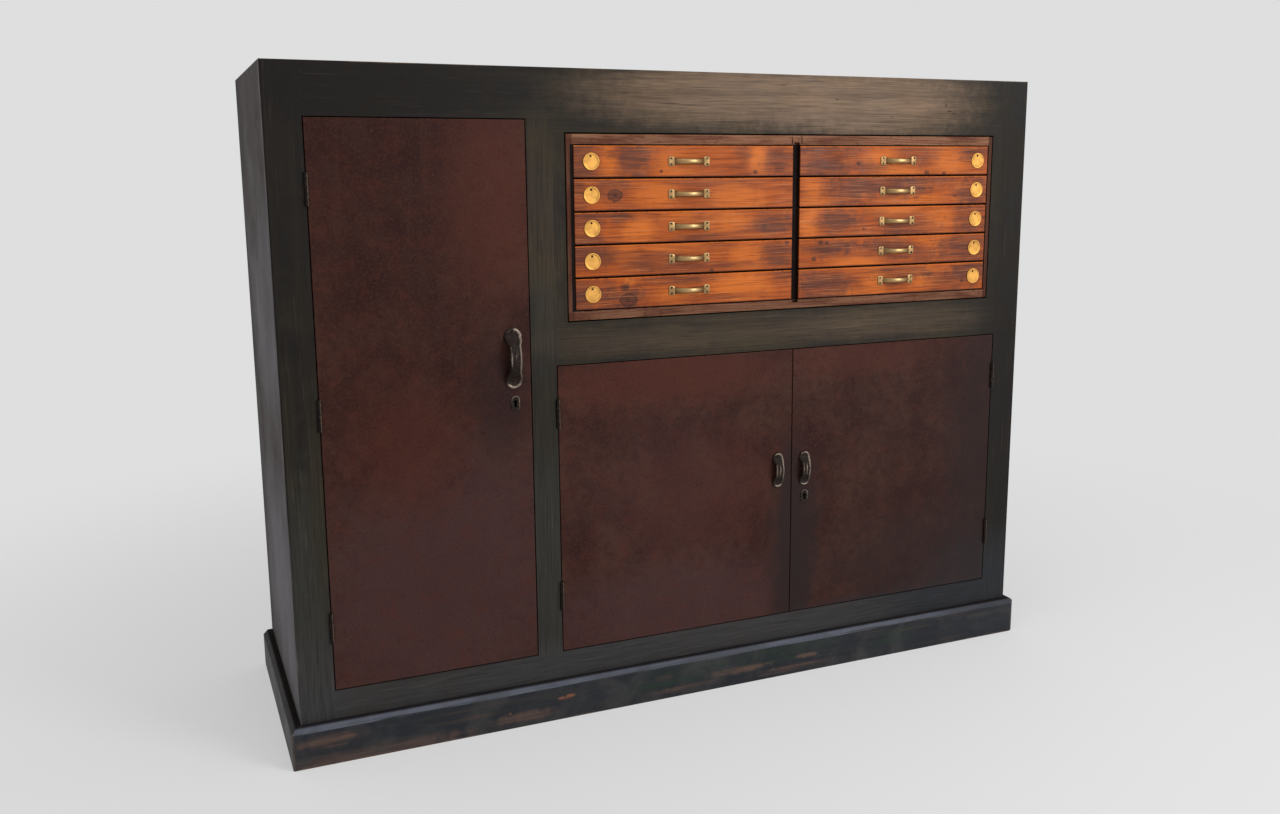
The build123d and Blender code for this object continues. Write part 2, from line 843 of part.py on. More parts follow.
door_hinges = {
    "tall_door": (tall_pin_x, 1, tall_hinges),
    "lower_left_door": (left_pin_x, 1, lower_hinges),
    "lower_right_door": (right_pin_x, -1, lower_hinges),
}
for door, (pin_x, side, heights) in door_hinges.items():
    with BuildPart() as door_hinge_leaves:
        for height in heights:
            hinge_leaf(pin_x, side, height, door_knuckles)
    write(door_hinge_leaves.part, f"{door}_hinge_leaves")

# Doors: flush slabs with eased front arrises, hinge beds and keyholes


def door_slab(x_span, top, hinges, keyholes):
    """A flush door slab between two upright edges."""
    pin_x, side, heights = hinges
    with BuildPart() as slab:
        plank((x_span[0], front, door_low), (x_span[1], door_back, top))
        fillet(slab.faces().sort_by(Axis.Y)[0].edges(), radius=door_arris)
        for height in heights:
            hinge_bed(pin_x, side, height)
        for key_x, key_z in keyholes:
            cut_keyhole(key_x, key_z, front - overrun, door_back)
    return slab.part


tall_slab = door_slab(
    (tall_door_left, tall_door_right),
    tall_door_top,
    door_hinges["tall_door"],
    [(tall_key_x, tall_key_z)],
)
write(tall_slab, "tall_door")
left_slab = door_slab((pair_door_left, left_door_edge), pair_door_top, door_hinges["lower_left_door"], [])
write(left_slab, "lower_left_door")
right_slab = door_slab(
    (right_door_edge, pair_door_right),
    pair_door_top,
    door_hinges["lower_right_door"],
    [(lower_key_x, lower_key_z)],
)
write(right_slab, "lower_right_door")

# Cast bow pulls on the doors


def bow_pull(x, z, length, lobe, grip, reach):
    """A cast pull: its dog-bone front outline met with a side view of two flat feet under a bow."""
    bow_half = length / 2 - lobe * pull_spring_share
    inner_half = bow_half * pull_inner_share
    foot_offset = (length - lobe) / 2
    with BuildPart() as pull:
        with BuildSketch(Plane.YZ.offset(x - lobe / 2)):
            with BuildLine():
                ThreePointArc((front, z - bow_half), (front - reach, z), (front, z + bow_half))
                Line((front, z + bow_half), (front, z + inner_half))
                ThreePointArc(
                    (front, z + inner_half),
                    (front - reach + pull_thickness, z),
                    (front, z - inner_half),
                )
                Line((front, z - inner_half), (front, z - bow_half))
            make_face()
            with Locations((front - pull_foot_thickness / 2, z - foot_offset)):
                Rectangle(pull_foot_thickness, lobe)
            with Locations((front - pull_foot_thickness / 2, z + foot_offset)):
                Rectangle(pull_foot_thickness, lobe)
        extrude(amount=lobe)
        with BuildSketch(Plane.XZ.offset(-front)) as outline:
            with Locations((x, z - foot_offset), (x, z + foot_offset)):
                Circle(lobe / 2)
            with Locations((x, z)):
                Rectangle(grip, length - lobe)
            necks = outline.vertices().group_by(lambda corner: round(abs(corner.X - x), 3))[0]
            fillet(necks, radius=pull_neck_radius)
        extrude(amount=reach, mode=Mode.INTERSECT)
    return pull.part


tall_pull_shape = (tall_pull_length, tall_pull_lobe, tall_pull_grip, tall_pull_reach)
lower_pull_shape = (lower_pull_length, lower_pull_lobe, lower_pull_grip, lower_pull_reach)
write(bow_pull(tall_pull_x, tall_pull_z, *tall_pull_shape), "tall_door_pull")
write(bow_pull(left_pull_x, left_pull_z, *lower_pull_shape), "lower_left_door_pull")
write(bow_pull(right_pull_x, right_pull_z, *lower_pull_shape), "lower_right_door_pull")

# Escutcheons, rim locks and their bolts


def escutcheon(key_x, key_z):
    """A round-ended keyhole plate, centred on the whole height of the keyhole."""
    with BuildPart() as plate:
        with BuildSketch(Plane.XZ.offset(-front)):
            with Locations((key_x, key_z - (keyhole_drop - keyhole_radius) / 2)):
                SlotOverall(escutcheon_height, escutcheon_width, rotation=90)
        extrude(amount=escutcheon_thickness)
        cut_keyhole(key_x, key_z, front - escutcheon_thickness - overrun, front)
    return plate.part


def lock_case(edge, inward, key_x, key_z):
    """A rim lock's case behind the door, with a channel for its bolt and room for the key to turn."""
    case_start = edge + inward * lock_edge_inset
    channel_end = case_start + inward * (lock_bolt_inset + lock_bolt_length + lock_bolt_gap)
    bolt_low = key_z + lock_bolt_rise
    with BuildPart() as case:
        plank(
            (case_start, door_back, key_z - lock_drop),
            (case_start + inward * lock_width, door_back + lock_depth, key_z + lock_rise),
        )
        plank(
            (case_start - inward * overrun, lock_bolt_front - lock_bolt_gap, bolt_low - lock_bolt_gap),
            (channel_end, lock_bolt_back + lock_bolt_gap, bolt_low + lock_bolt_height + lock_bolt_gap),
            Mode.SUBTRACT,
        )
        with BuildSketch(Plane.XZ.offset(-lock_bolt_back)):
            with Locations((key_x, key_z)):
                Circle(key_sweep_radius)
        extrude(amount=lock_bolt_back - door_back - lock_wall, mode=Mode.SUBTRACT)
        cut_keyhole(key_x, key_z, door_back - overrun, lock_bolt_back)
    return case.part


def lock_bolt(edge, inward, key_x, key_z):
    """The lock's sliding bolt, drawn back, with the talon that the key pushes in its lower edge."""
    bolt_start = edge + inward * (lock_edge_inset + lock_bolt_inset)
    bolt_low = key_z + lock_bolt_rise
    with BuildPart() as bolt:
        plank(
            (bolt_start, lock_bolt_front, bolt_low),
            (bolt_start + inward * lock_bolt_length, lock_bolt_back, bolt_low + lock_bolt_height),
        )
        with BuildSketch(Plane.XZ.offset(-lock_bolt_back)):
            with Locations((key_x, bolt_low)):
                Circle(lock_talon_radius)
        extrude(amount=lock_bolt_thickness, mode=Mode.SUBTRACT)
    return bolt.part


locks = {
    "tall_door": (tall_door_right, -1, tall_key_x, tall_key_z),
    "lower_right_door": (right_door_edge, 1, lower_key_x, lower_key_z),
}
for door, place in locks.items():
    write(escutcheon(*place[2:]), f"{door}_escutcheon")
    write(lock_case(*place), f"{door}_lock_case")
    write(lock_bolt(*place), f"{door}_lock_bolt")

# Tower bolts inside the lower left door


def tower_keeps(tip, up):
    """A tower bolt's plate with a keep at each end, bored for the rod."""
    start = tip - up * tower_tip_show
    end = start - up * tower_plate_length
    plate_back = door_back + tower_plate_thickness
    keep_back = tower_y + tower_rod_radius + tower_plate_thickness
    half_plate = tower_plate_width / 2
    half_keep = tower_keep_width / 2
    with BuildPart() as keeps:
        plank((tower_x - half_plate, door_back, start), (tower_x + half_plate, plate_back, end))
        for keep_start in (start, end + up * tower_keep_length):
            plank(
                (tower_x - half_keep, door_back, keep_start),
                (tower_x + half_keep, keep_back, keep_start - up * tower_keep_length),
            )
        with Locations((tower_x, tower_y, (start + end) / 2)):
            Cylinder(tower_rod_radius + tower_rod_gap, tower_plate_length + overrun, mode=Mode.SUBTRACT)
    return keeps.part


def tower_rod(tip, up):
    """A tower bolt's rod, drawn back, with its knob between the keeps."""
    middle = tip - up * tower_rod_length / 2
    with BuildPart() as rod:
        with Locations((tower_x, tower_y, middle)):
            Cylinder(tower_rod_radius, tower_rod_length)
        with BuildSketch(Plane.XZ.offset(-tower_y - tower_rod_radius - tower_knob_length)):
            with Locations((tower_x, middle)):
                Circle(tower_knob_radius)
        extrude(amount=tower_knob_length + tower_rod_radius)
    return rod.part


bolt_keeps = Compound(children=[tower_keeps(tower_top_tip, 1), tower_keeps(tower_low_tip, -1)])
write(bolt_keeps, "lower_left_bolt_keeps")
write(tower_rod(tower_top_tip, 1), "lower_left_top_bolt")
write(tower_rod(tower_low_tip, -1), "lower_left_bottom_bolt")
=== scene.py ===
"""Dresses a painted workshop cabinet: its paint, varnish, brass, castings, screws and a plain studio."""
import json
import math
from types import SimpleNamespace

import bmesh
import bpy
import numpy as np
from bpy.props import FloatProperty, FloatVectorProperty, PointerProperty
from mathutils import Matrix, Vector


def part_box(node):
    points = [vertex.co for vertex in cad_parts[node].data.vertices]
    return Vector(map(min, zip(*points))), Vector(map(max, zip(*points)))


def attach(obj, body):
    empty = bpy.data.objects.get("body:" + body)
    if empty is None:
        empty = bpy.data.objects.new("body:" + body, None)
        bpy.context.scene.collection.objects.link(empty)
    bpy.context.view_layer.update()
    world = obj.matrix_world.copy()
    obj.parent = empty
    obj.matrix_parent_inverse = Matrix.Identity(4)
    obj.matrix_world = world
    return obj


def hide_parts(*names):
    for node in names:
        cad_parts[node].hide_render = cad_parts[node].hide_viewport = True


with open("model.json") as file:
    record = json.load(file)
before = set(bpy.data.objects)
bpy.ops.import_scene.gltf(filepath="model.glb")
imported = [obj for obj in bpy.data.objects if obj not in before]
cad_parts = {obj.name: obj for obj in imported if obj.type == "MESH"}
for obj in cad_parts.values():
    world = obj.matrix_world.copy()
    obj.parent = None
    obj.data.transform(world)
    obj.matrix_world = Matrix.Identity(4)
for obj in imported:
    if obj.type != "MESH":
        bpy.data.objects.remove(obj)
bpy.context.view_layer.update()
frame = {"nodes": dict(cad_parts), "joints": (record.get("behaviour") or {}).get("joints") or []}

bl_info = {
    "name": "Workshop Cabinet",
    "version": (1, 0, 0),
    "blender": (4, 5, 0),
    "location": "View3D > Sidebar > Cabinet",
    "description": "Dresses a painted workshop cabinet with its finishes, fittings and studio",
    "category": "Object",
}

# Places and sizes, in metres where no unit is named
MM = 0.001
PERCENT = 0.01
FAR = 1.0
FACING_OUT = (0.0, -1.0, 0.0)
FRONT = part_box("top_rail")[0].y
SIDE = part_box("right_side_panel")[1].x
# The body's box for arris wear runs far past its foot and its back, where no arris shows
BODY = ((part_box("left_side_panel")[0].x, FRONT, -FAR), (SIDE, FAR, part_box("top_board")[1].z))
DRAWERS = [f"{column}{row}" for column in "lr" for row in range(1, 6)]
LOCKED_DOORS = ("tall_door", "lower_right_door")
# Length, lobe and grip of each door's pull in millimetres, and the dome along its bow as a share of its depth
DOOR_PULLS = {
    "tall_door": (123.0, 37.0, 24.5, 0.26),
    "lower_left_door": (79.0, 27.0, 20.5, 0.48),
    "lower_right_door": (79.0, 27.0, 20.5, 0.48),
}
# How many hinges each door hangs on, and where its pins stand across
HINGES = {"tall_door": 3, "lower_left_door": 2, "lower_right_door": 2}
PINS = {joint["child"]: joint["pos_m"][0] for joint in frame["joints"] if joint["child"] in HINGES}
# Which way the grain of each frame member and inner board runs, or round all four sides of an opening
FRAME_GRAIN = {
    "left_stile": "Z", "right_stile": "Z", "mid_stile": "Z", "top_rail": "X", "mid_rail": "X",
    "bottom_rail": "X", "drawer_surround": "round",
}
INNER_GRAIN = {"floor_board": "X", "partition": "Z", "drawer_deck": "X", "shelves": "X", "shelf_cleats": "Y"}
# Half a hinge leaf's height, and its screws as inset from its inner edge and rise
LEAF_HALF = 0.030
LEAF_SCREWS = ((0.0065, -0.020), (0.0105, 0.0), (0.0065, 0.020))
# Where the heads of screws and pins sit on what they hold, their radii and their domes
LEAF_FACE, LEAF_SCREW, LEAF_DOME = 0.001, 0.0030, 0.0003
LOCK_MARGIN, LOCK_SCREW, LOCK_DOME = 0.006, 0.0031, 0.0009
PLATE_MARGIN, PLATE_PIN, PLATE_DOME = 0.0032, 0.0013, 0.0007
TAG_PIN_OFFSET, TAG_PIN, TAG_DOME = (-0.0012, -0.0012, 0.0105), 0.0024, 0.0016
FOOT_SCREW_OUT, FOOT_SCREW_RISE, FOOT_DOME = 0.0012, 0.0058, 0.0006
# A door pull's screws: their radius as a share of the lobe, their dome, and how far they are turned
PULL_SCREW, PULL_DOME, PULL_TURNS = 0.16, 0.0008, (0.5, 2.2)
# How far a bow runs in under each foot, and the superellipse powers of a foot and a tag
FOOT_LAP = 0.003
SQUARE, CIRCLE = 4.0, 2.0
# Seeds of the random turns of screws on the drawers and on each door in turn
DRAWER_TURNS, DOOR_TURNS = 11, 20
# Pressed profiles, each step a share of the outline, a share of the thickness and the wear
FOOT_PROFILE = (
    (0.0, 1.0, 0.3), (0.6, 1.0, 0.3), (0.84, 0.95, 0.6), (0.95, 0.75, 1.0), (1.0, 0.35, 0.6),
    (1.0, 0.0, 0.0), (0.0, 0.0, 0.0),
)
TAG_PROFILE = (
    (0.0, 0.74, 0.7), (0.4, 0.74, 0.7), (0.7, 0.73, 0.7), (0.84, 0.72, 0.4), (0.88, 0.88, 0.8),
    (0.94, 1.0, 1.0), (0.985, 0.90, 0.6), (1.0, 0.6, 0.0), (1.0, 0.0, 0.0), (0.0, 0.0, 0.0),
)
# Each lamp's place, aim and size, and the floor's rings, spokes, drop, middle and fade
LAMPS = {
    "key": ((2.15, -3.40, 2.00), (0.15, -0.25, 0.85), (1.6, 2.4)),
    "top": ((-0.60, -1.20, 3.60), (0.0, 0.0, 0.6), (3.2, 3.2)),
}
FLOOR_RINGS = (0.0, 0.6, 1.2, 2.0, 3.0, 4.2, 6.0)
FLOOR_SPOKES = 64
FLOOR_DROP = 0.0004
FLOOR_MIDDLE = 0.1
FLOOR_FADE = (0.9, 2.6)


def tint(name, about, default):
    """A colour that a user would change, as a linear red, green and blue."""
    return FloatVectorProperty(
        name=name, description=about, default=default, size=3, min=0.0, max=1.0, subtype="COLOR")


def span(name, about, default):
    """A length that a user would change, in metres."""
    return FloatProperty(name=name, description=about, default=default, min=0.0, unit="LENGTH")


def share(name, about, default):
    """A plain share from nothing to all."""
    return FloatProperty(name=name, description=about, default=default, min=0.0, max=1.0, subtype="FACTOR")


def power(name, about, default):
    """The power of a lamp, in watts."""
    return FloatProperty(name=name, description=about, default=default, min=0.0, unit="POWER")


class CabinetFittings(bpy.types.PropertyGroup):
    """Sizes of the fittings that are shaped here."""

    bow_length: span("Drawer pull length", "Over both feet of a drawer pull", 0.093)
    bow_offset: span("Drawer pull offset", "How far a drawer pull sits right of the drawer's middle", 0.0025)
    bow_reach: span("Drawer pull reach", "How far a drawer pull stands off the drawer", 0.018)
    bow_height: span("Drawer pull bar height", "Height of the bar at the middle of its bow", 0.0105)
    bow_thickness: span("Drawer pull bar thickness", "Thickness of the half round bar", 0.0030)
    foot_width: span("Drawer pull foot width", "Width of one foot of a drawer pull", 0.0145)
    foot_height: span("Drawer pull foot height", "Height of one foot of a drawer pull", 0.020)
    foot_thickness: span("Drawer pull foot thickness", "Thickness of one foot of a drawer pull", 0.0024)
    tag_radius: span("Tag radius", "Radius of the round brass tag of a drawer", 0.017)
    tag_thickness: span("Tag thickness", "Thickness of the tag at its rim", 0.0019)
    strap_thickness: span("Door pull strap", "Thickness of a door pull at the middle of its bow", 0.0055)
    pad_thickness: span("Door pull pad", "Thickness of a door pull's round ends", 0.0042)
    screw_radius: span("Screw head radius", "Radius of a drawer pull's screw heads", 0.0026)


class CabinetFinishes(bpy.types.PropertyGroup):
    """Colours of the cabinet's finishes."""

    frame_dark: tint("Frame paint, dark", "Body colour of the frame's old paint", (0.0078, 0.0060, 0.0052))
    frame_light: tint("Frame paint, light", "Brushed strokes of the paint", (0.0300, 0.0235, 0.0125))
    # Partly a brown coat where the paint is thin, partly a painted sheen where the key light reflects off the
    # rails
    frame_brown: tint("Frame paint, brown", "Brown sealing coat where paint is thin", (0.258, 0.168, 0.108))
    frame_green: tint("Frame paint, green", "Greenish cast of the paint low down", (0.0330, 0.0330, 0.0275))
    # Also a painted reflection of the pale floor along the bottom rail
    frame_grey: tint("Frame paint, grey", "Dusty grey of the paint near the plinth", (0.045, 0.044, 0.045))
    side_grey: tint("Side paint", "Dull mauve grey of the side panels", (0.0340, 0.0218, 0.0208))
    side_dust: tint("Side paint, dusty", "Dusty bloom on the side panels", (0.150, 0.145, 0.158))
    plinth_black: tint("Plinth paint", "Blue black of the plinth", (0.0200, 0.0218, 0.0262))
    plinth_brown: tint("Plinth, worn", "Wood that shows through on the plinth", (0.098, 0.062, 0.050))
    plinth_chip: tint("Plinth, chipped", "Fresher wood in the plinth's chips", (0.180, 0.078, 0.046))
    plinth_green: tint("Plinth, green", "Older green coat that shows on the plinth", (0.0210, 0.0370, 0.0250))
    # Partly dust, partly a painted highlight where the front bevel faces the light
    plinth_bevel: tint("Plinth bevel", "Dusty blue grey along the plinth's bevel", (0.105, 0.114, 0.142))
    # Also the painted highlight along the hinge knuckles
    rubbed: tint("Rubbed arris", "Bare wood along rubbed arrises", (0.200, 0.140, 0.095))
    door_deep: tint("Door paint, deep", "Deep oxblood of the doors", (0.024, 0.0052, 0.0038))
    door_red: tint("Door paint, red", "Redder bloom on the doors", (0.074, 0.0175, 0.0100))
    door_brown: tint("Door paint, brown", "Brown clouds on the doors", (0.058, 0.0215, 0.0135))
    # Partly dust, partly a painted sheen of the pale floor low on the doors
    door_mauve: tint("Door bloom", "Dusty mauve low on the doors", (0.0540, 0.0250, 0.0245))
    door_smoke: tint("Door grime", "Smoky grime around the pulls and low down", (0.019, 0.0105, 0.0098))
    pine_early: tint("Varnished pine, early wood", "Orange of the drawers", (0.440, 0.091, 0.011))
    pine_late: tint("Varnished pine, late wood", "Darker rings of the drawers", (0.220, 0.042, 0.009))
    pine_glow: tint("Varnished pine, bright", "Brightest orange of the drawers", (0.660, 0.160, 0.018))
    pine_pale: tint("Varnished pine, pale", "Pale fibres that catch the light", (0.600, 0.250, 0.100))
    pine_stain: tint("Drawer stain", "Purplish brown stains on the drawers", (0.105, 0.033, 0.020))
    # Also painted shade: in the gaps round the drawers, in the drawer bay, on the plinth's ledge and on the
    # returns' bevel
    soot: tint("Soot", "Black grime in the gaps around the drawers", (0.0060, 0.0030, 0.0024))
    pine_knot: tint("Knot", "Heart of a knot", (0.045, 0.014, 0.009))
    bare_pine: tint("Bare pine", "Unpainted wood inside", (0.400, 0.250, 0.135))
    bare_late: tint("Bare pine, late wood", "Rings of the unpainted wood", (0.230, 0.125, 0.060))
    casing_pine: tint("Casing wood", "Dusty red brown of the drawer casing", (0.280, 0.128, 0.073))
    brass: tint("Aged brass", "Body colour of the drawer pulls", (0.255, 0.145, 0.058))
    brass_worn: tint("Brass, rubbed", "Brass that hands keep bright", (0.680, 0.450, 0.200))
    tag_brass: tint("Tag brass", "Brighter brass of the tags", (0.640, 0.335, 0.080))
    tarnish: tint("Tarnish", "Brown tarnish on the brass", (0.060, 0.034, 0.020))
    casting: tint("Blackened casting", "Blackened iron of the door pulls", (0.0078, 0.0052, 0.0042))
    # Also the painted highlight down the lit side of the door pulls and the escutcheon rims
    casting_worn: tint("Casting, worn", "Rubbed metal of the door pulls", (0.226, 0.174, 0.140))
    steel: tint("Worn steel", "Hinges, locks and bolts", (0.330, 0.315, 0.300))
    rust: tint("Rust", "Rust on the steel", (0.150, 0.062, 0.030))


class CabinetStudio(bpy.types.PropertyGroup):
    """Floor, lights and camera."""

    backdrop: tint("Backdrop", "Pale grey that the camera sees behind the cabinet", (0.735, 0.735, 0.740))
    floor: tint("Floor", "Pale grey of the floor", (0.920, 0.920, 0.925))
    ambient: share("Ambient light", "Even light from all round", 0.50)
    key_power: power("Key light", "Power of the soft box at the right", 80.0)
    top_power: power("Top light", "Power of the soft box above", 26.0)
    camera_place: FloatVectorProperty(
        name="Camera place", description="Where the camera stands", size=3, subtype="TRANSLATION",
        default=(-1.04172, -2.45425, 1.12094))
    camera_turn: FloatVectorProperty(
        name="Camera turn", description="How the camera is turned", size=3, subtype="EULER",
        default=(1.391989, 0.005933, -0.409928))
    camera_lens: FloatProperty(name="Lens", description="Focal length in millimetres", default=33.087)
    camera_sensor: FloatProperty(name="Sensor", description="Sensor width in millimetres", default=36.0)
    camera_shift: FloatVectorProperty(
        name="Camera shift", description="Shift of the picture across and up", size=2,
        default=(-0.014236, -0.017731))


# Node benches


def worked(operation, *values):
    """A sum on wires and plain values: on vectors where a wire carries one, and on numbers otherwise."""
    wires = [value for value in values if isinstance(value, Wire)]
    kind = "VectorMath" if any(wire.socket.type == "VECTOR" for wire in wires) else "Math"
    out = "Value" if operation == "LENGTH" else 0
    return wires[0].bench.wire(f"ShaderNode{kind}", out, dict(enumerate(values)), operation=operation)


class Wire:
    """One value on its way through a node tree: a sum on it lays the node that works it out."""

    seed_step = (7.31, 3.17, 11.73)

    def __init__(self, bench, socket):
        self.bench = bench
        self.socket = socket

    def __add__(self, other):
        return worked("ADD", self, other)

    def __sub__(self, other):
        return worked("SUBTRACT", self, other)

    def __rsub__(self, other):
        return worked("SUBTRACT", other, self)

    def __mul__(self, other):
        return worked("MULTIPLY", self, other)

    def __truediv__(self, other):
        return worked("DIVIDE", self, other)

    def __abs__(self):
        return worked("ABSOLUTE", self)

    def most(self, other):
        """The larger of two values."""
        return worked("MAXIMUM", self, other)

    def least(self, other):
        """The smaller of two values."""
        return worked("MINIMUM", self, other)

    def between(self, low, high):
        """One between two levels and nought past them."""
        return worked("GREATER_THAN", self, low) * worked("LESS_THAN", self, high)

    def ease(self, low, high, last=1.0, first=0.0):
        """A smooth step from first to last as this value goes from low to high."""
        feeds = {0: self, 1: low, 2: high, 3: first, 4: last}
        return self.bench.wire("ShaderNodeMapRange", 0, feeds, interpolation_type="SMOOTHSTEP")

    def noise(self, scale, detail=3.0, rough=0.5, swirl=0.0):
        """Soft noise from nought to one at this place."""
        feeds = {"Vector": self, "Scale": scale, "Detail": detail, "Roughness": rough, "Distortion": swirl}
        return self.bench.wire("ShaderNodeTexNoise", 0, feeds)

    def drawn(self, along, across, detail=3.0, rough=0.5, swirl=0.0):
        """Noise drawn out along the first part of this place, at one scale along it and another across."""
        return (self * (along, across, across)).noise(1.0, detail, rough, swirl)

    def split(self):
        """The parts of this vector as x, y and z."""
        return self.bench.wires(self.bench.lay("ShaderNodeSeparateXYZ", {0: self}))

    def along(self, axis):
        """This place turned so that its first part runs along the axis."""
        if axis == "X":
            return self
        at = self.split()
        return self.bench.join(at.z, at.y, at.x) if axis == "Z" else self.bench.join(at.y, at.x, at.z)

    def seeded(self, seed):
        """This place moved far off by its seed, so that no two pieces share a figure."""
        return self + self.bench.join(seed, seed, seed) * self.seed_step


class Bench:
    """Lays nodes in one tree."""

    def __init__(self, tree):
        self.tree = tree

    def feed(self, node, feeds):
        """Links wires and sets plain numbers, vectors and colours on sockets, by name or number."""
        for key, value in feeds.items():
            socket = node.inputs[key]
            if isinstance(value, Wire):
                self.tree.links.new(value.socket, socket)
            elif isinstance(value, (int, float)):
                socket.default_value = value
            else:
                socket.default_value = (*value, 1.0) if socket.type == "RGBA" else tuple(value)

    def lay(self, kind, feeds=None, **settings):
        """One node with its settings and its feeds."""
        node = self.tree.nodes.new(kind)
        for key, value in settings.items():
            setattr(node, key, value)
        self.feed(node, feeds or {})
        return node

    def wire(self, kind, out, feeds=None, **settings):
        """One output of a new node, by name or number."""
        return Wire(self, self.lay(kind, feeds, **settings).outputs[out])

    def wires(self, node):
        """Every output of a node under its own name in small letters."""
        return SimpleNamespace(**{
            socket.name.lower().replace(" ", "_"): Wire(self, socket) for socket in node.outputs})

    def join(self, x, y, z):
        """A vector from three parts."""
        return self.wire("ShaderNodeCombineXYZ", 0, {0: x, 1: y, 2: z})

    def group(self, name, **feeds):
        """The outputs of a shop group placed with these feeds."""
        named = {key.capitalize(): value for key, value in feeds.items()}
        return self.wires(self.lay("ShaderNodeGroup", named, node_tree=bpy.data.node_groups[name]))


class Group(Bench):
    """A node group under way: what it takes is named at its start, and what it gives at its end."""

    def __init__(self, name, vectors, numbers):
        super().__init__(bpy.data.node_groups.new(name, "ShaderNodeTree"))
        for kind, labels in (("Vector", vectors), ("Float", numbers)):
            for label in labels.split():
                self.tree.interface.new_socket(label, in_out="INPUT", socket_type=f"NodeSocket{kind}")
        self.takes = self.wires(self.lay("NodeGroupInput"))

    def give(self, **results):
        """Names the results and lays the node that they leave by."""
        named = {key.capitalize(): value for key, value in results.items()}
        for label in named:
            self.tree.interface.new_socket(label, in_out="OUTPUT", socket_type="NodeSocketFloat")
        self.lay("NodeGroupOutput", named)


def arris_wear():
    """Wear along a box's arrises: the middle one of a place's distances to the faces is small only there."""
    group = Group("Arris wear", "Place Low High", "Reach Seed")
    takes = group.takes
    near = (takes.place - takes.low).least(takes.high - takes.place).split()
    middle = near.x.least(near.y).most(near.x.most(near.y).least(near.z))
    place = takes.place.seeded(takes.seed)
    ragged = worked("POWER", place.noise(55.0, 4.0, 0.65), 1.6) * 3.2
    patchy = place.noise(7.0, 3.0, 0.6).ease(0.40, 0.62, first=0.15)
    group.give(wear=(middle / (takes.reach * ragged * patchy)).ease(1.1, 0.35))


def timber_grain():
    """Wood grain along X: rings are saw teeth of a warped height, the rest is noise drawn out with it."""
    group = Group("Timber grain", "Place", "Spacing Seed")
    place = group.takes.place.seeded(group.takes.seed)
    at = place.split()
    lift = place.drawn(1.5, 7.0, 2.0, 0.45) * 0.085 + place.drawn(9.0, 30.0, 3.0, 0.55) * 0.008
    tooth = worked("FRACT", (at.z + at.y * 0.7 + lift) / group.takes.spacing)
    strength = place.drawn(2.2, 26.0, 2.0).ease(0.30, 0.68)
    group.give(
        rings=tooth.ease(0.25, 0.90) * tooth.ease(0.90, 1.0, 0.0, first=1.0) * strength,
        fibre=place.drawn(11.0, 520.0, 4.0, 0.6),
        pores=place.drawn(46.0, 640.0, 3.0, 0.65),
        figure=place.drawn(4.0, 34.0, 4.0, 0.6, 0.4))


def grime_clouds():
    """Grime: swirled clouds, slow patches, a fine mottle and rare specks cut from noise of several scales."""
    group = Group("Grime clouds", "Place", "Size Seed")
    size = group.takes.size
    place = group.takes.place.seeded(group.takes.seed)
    dots = place.noise(size * 42.0, 1.0, 0.4).ease(0.735, 0.77)
    gate = place.noise(size * 4.0, 2.0).ease(0.48, 0.6)
    group.give(
        cloud=place.noise(size, 6.0, 0.62, 0.5),
        patch=place.noise(size * 0.28, 3.0, 0.5, 0.2),
        mottle=place.noise(size * 6.5, 4.0, 0.62, 0.3),
        speck=dots * gate)


def brush_marks():
    """Brush marks along X: noise drawn out long, once fine and once broad."""
    group = Group("Brush marks", "Place", "Seed")
    place = group.takes.place.seeded(group.takes.seed)
    group.give(marks=place.drawn(7.0, 330.0, 3.0, 0.62), strokes=place.drawn(2.6, 58.0, 4.0, 0.6, 0.3))


def ragged_blot():
    """A blot with a ragged rim: the length of the scaled offset from its centre, roughened by noise."""
    group = Group("Ragged blot", "Place Centre Reach", "Rough")
    takes = group.takes
    far = worked("LENGTH", (takes.place - takes.centre) / takes.reach)
    ragged = (takes.place.noise(48.0, 4.0, 0.62, 0.4) - 0.5) * takes.rough
    group.give(mask=(far + ragged).ease(1.25, 0.35))


def pine_knot():
    """A knot: rings of the scaled distance from its heart, a dark eye, a rim and a soft halo."""
    group = Group("Pine knot", "Place Centre", "Radius")
    takes = group.takes
    offset = (takes.place - takes.centre) * (0.75, 0.0, 1.0)
    wobble = (takes.place.noise(130.0, 3.0, 0.6) - 0.5) * 0.7
    far = worked("LENGTH", offset) / takes.radius + wobble
    rings = worked("FRACT", far * 3.2).ease(0.2, 0.9, first=0.35)
    group.give(
        eye=far.ease(0.42, 0.16), rim=abs(far - 0.92).ease(0.24, 0.05), halo=far.ease(1.15, 0.75) * rings)


GROUPS = (arris_wear, timber_grain, grime_clouds, brush_marks, ragged_blot, pine_knot)


# Finishes

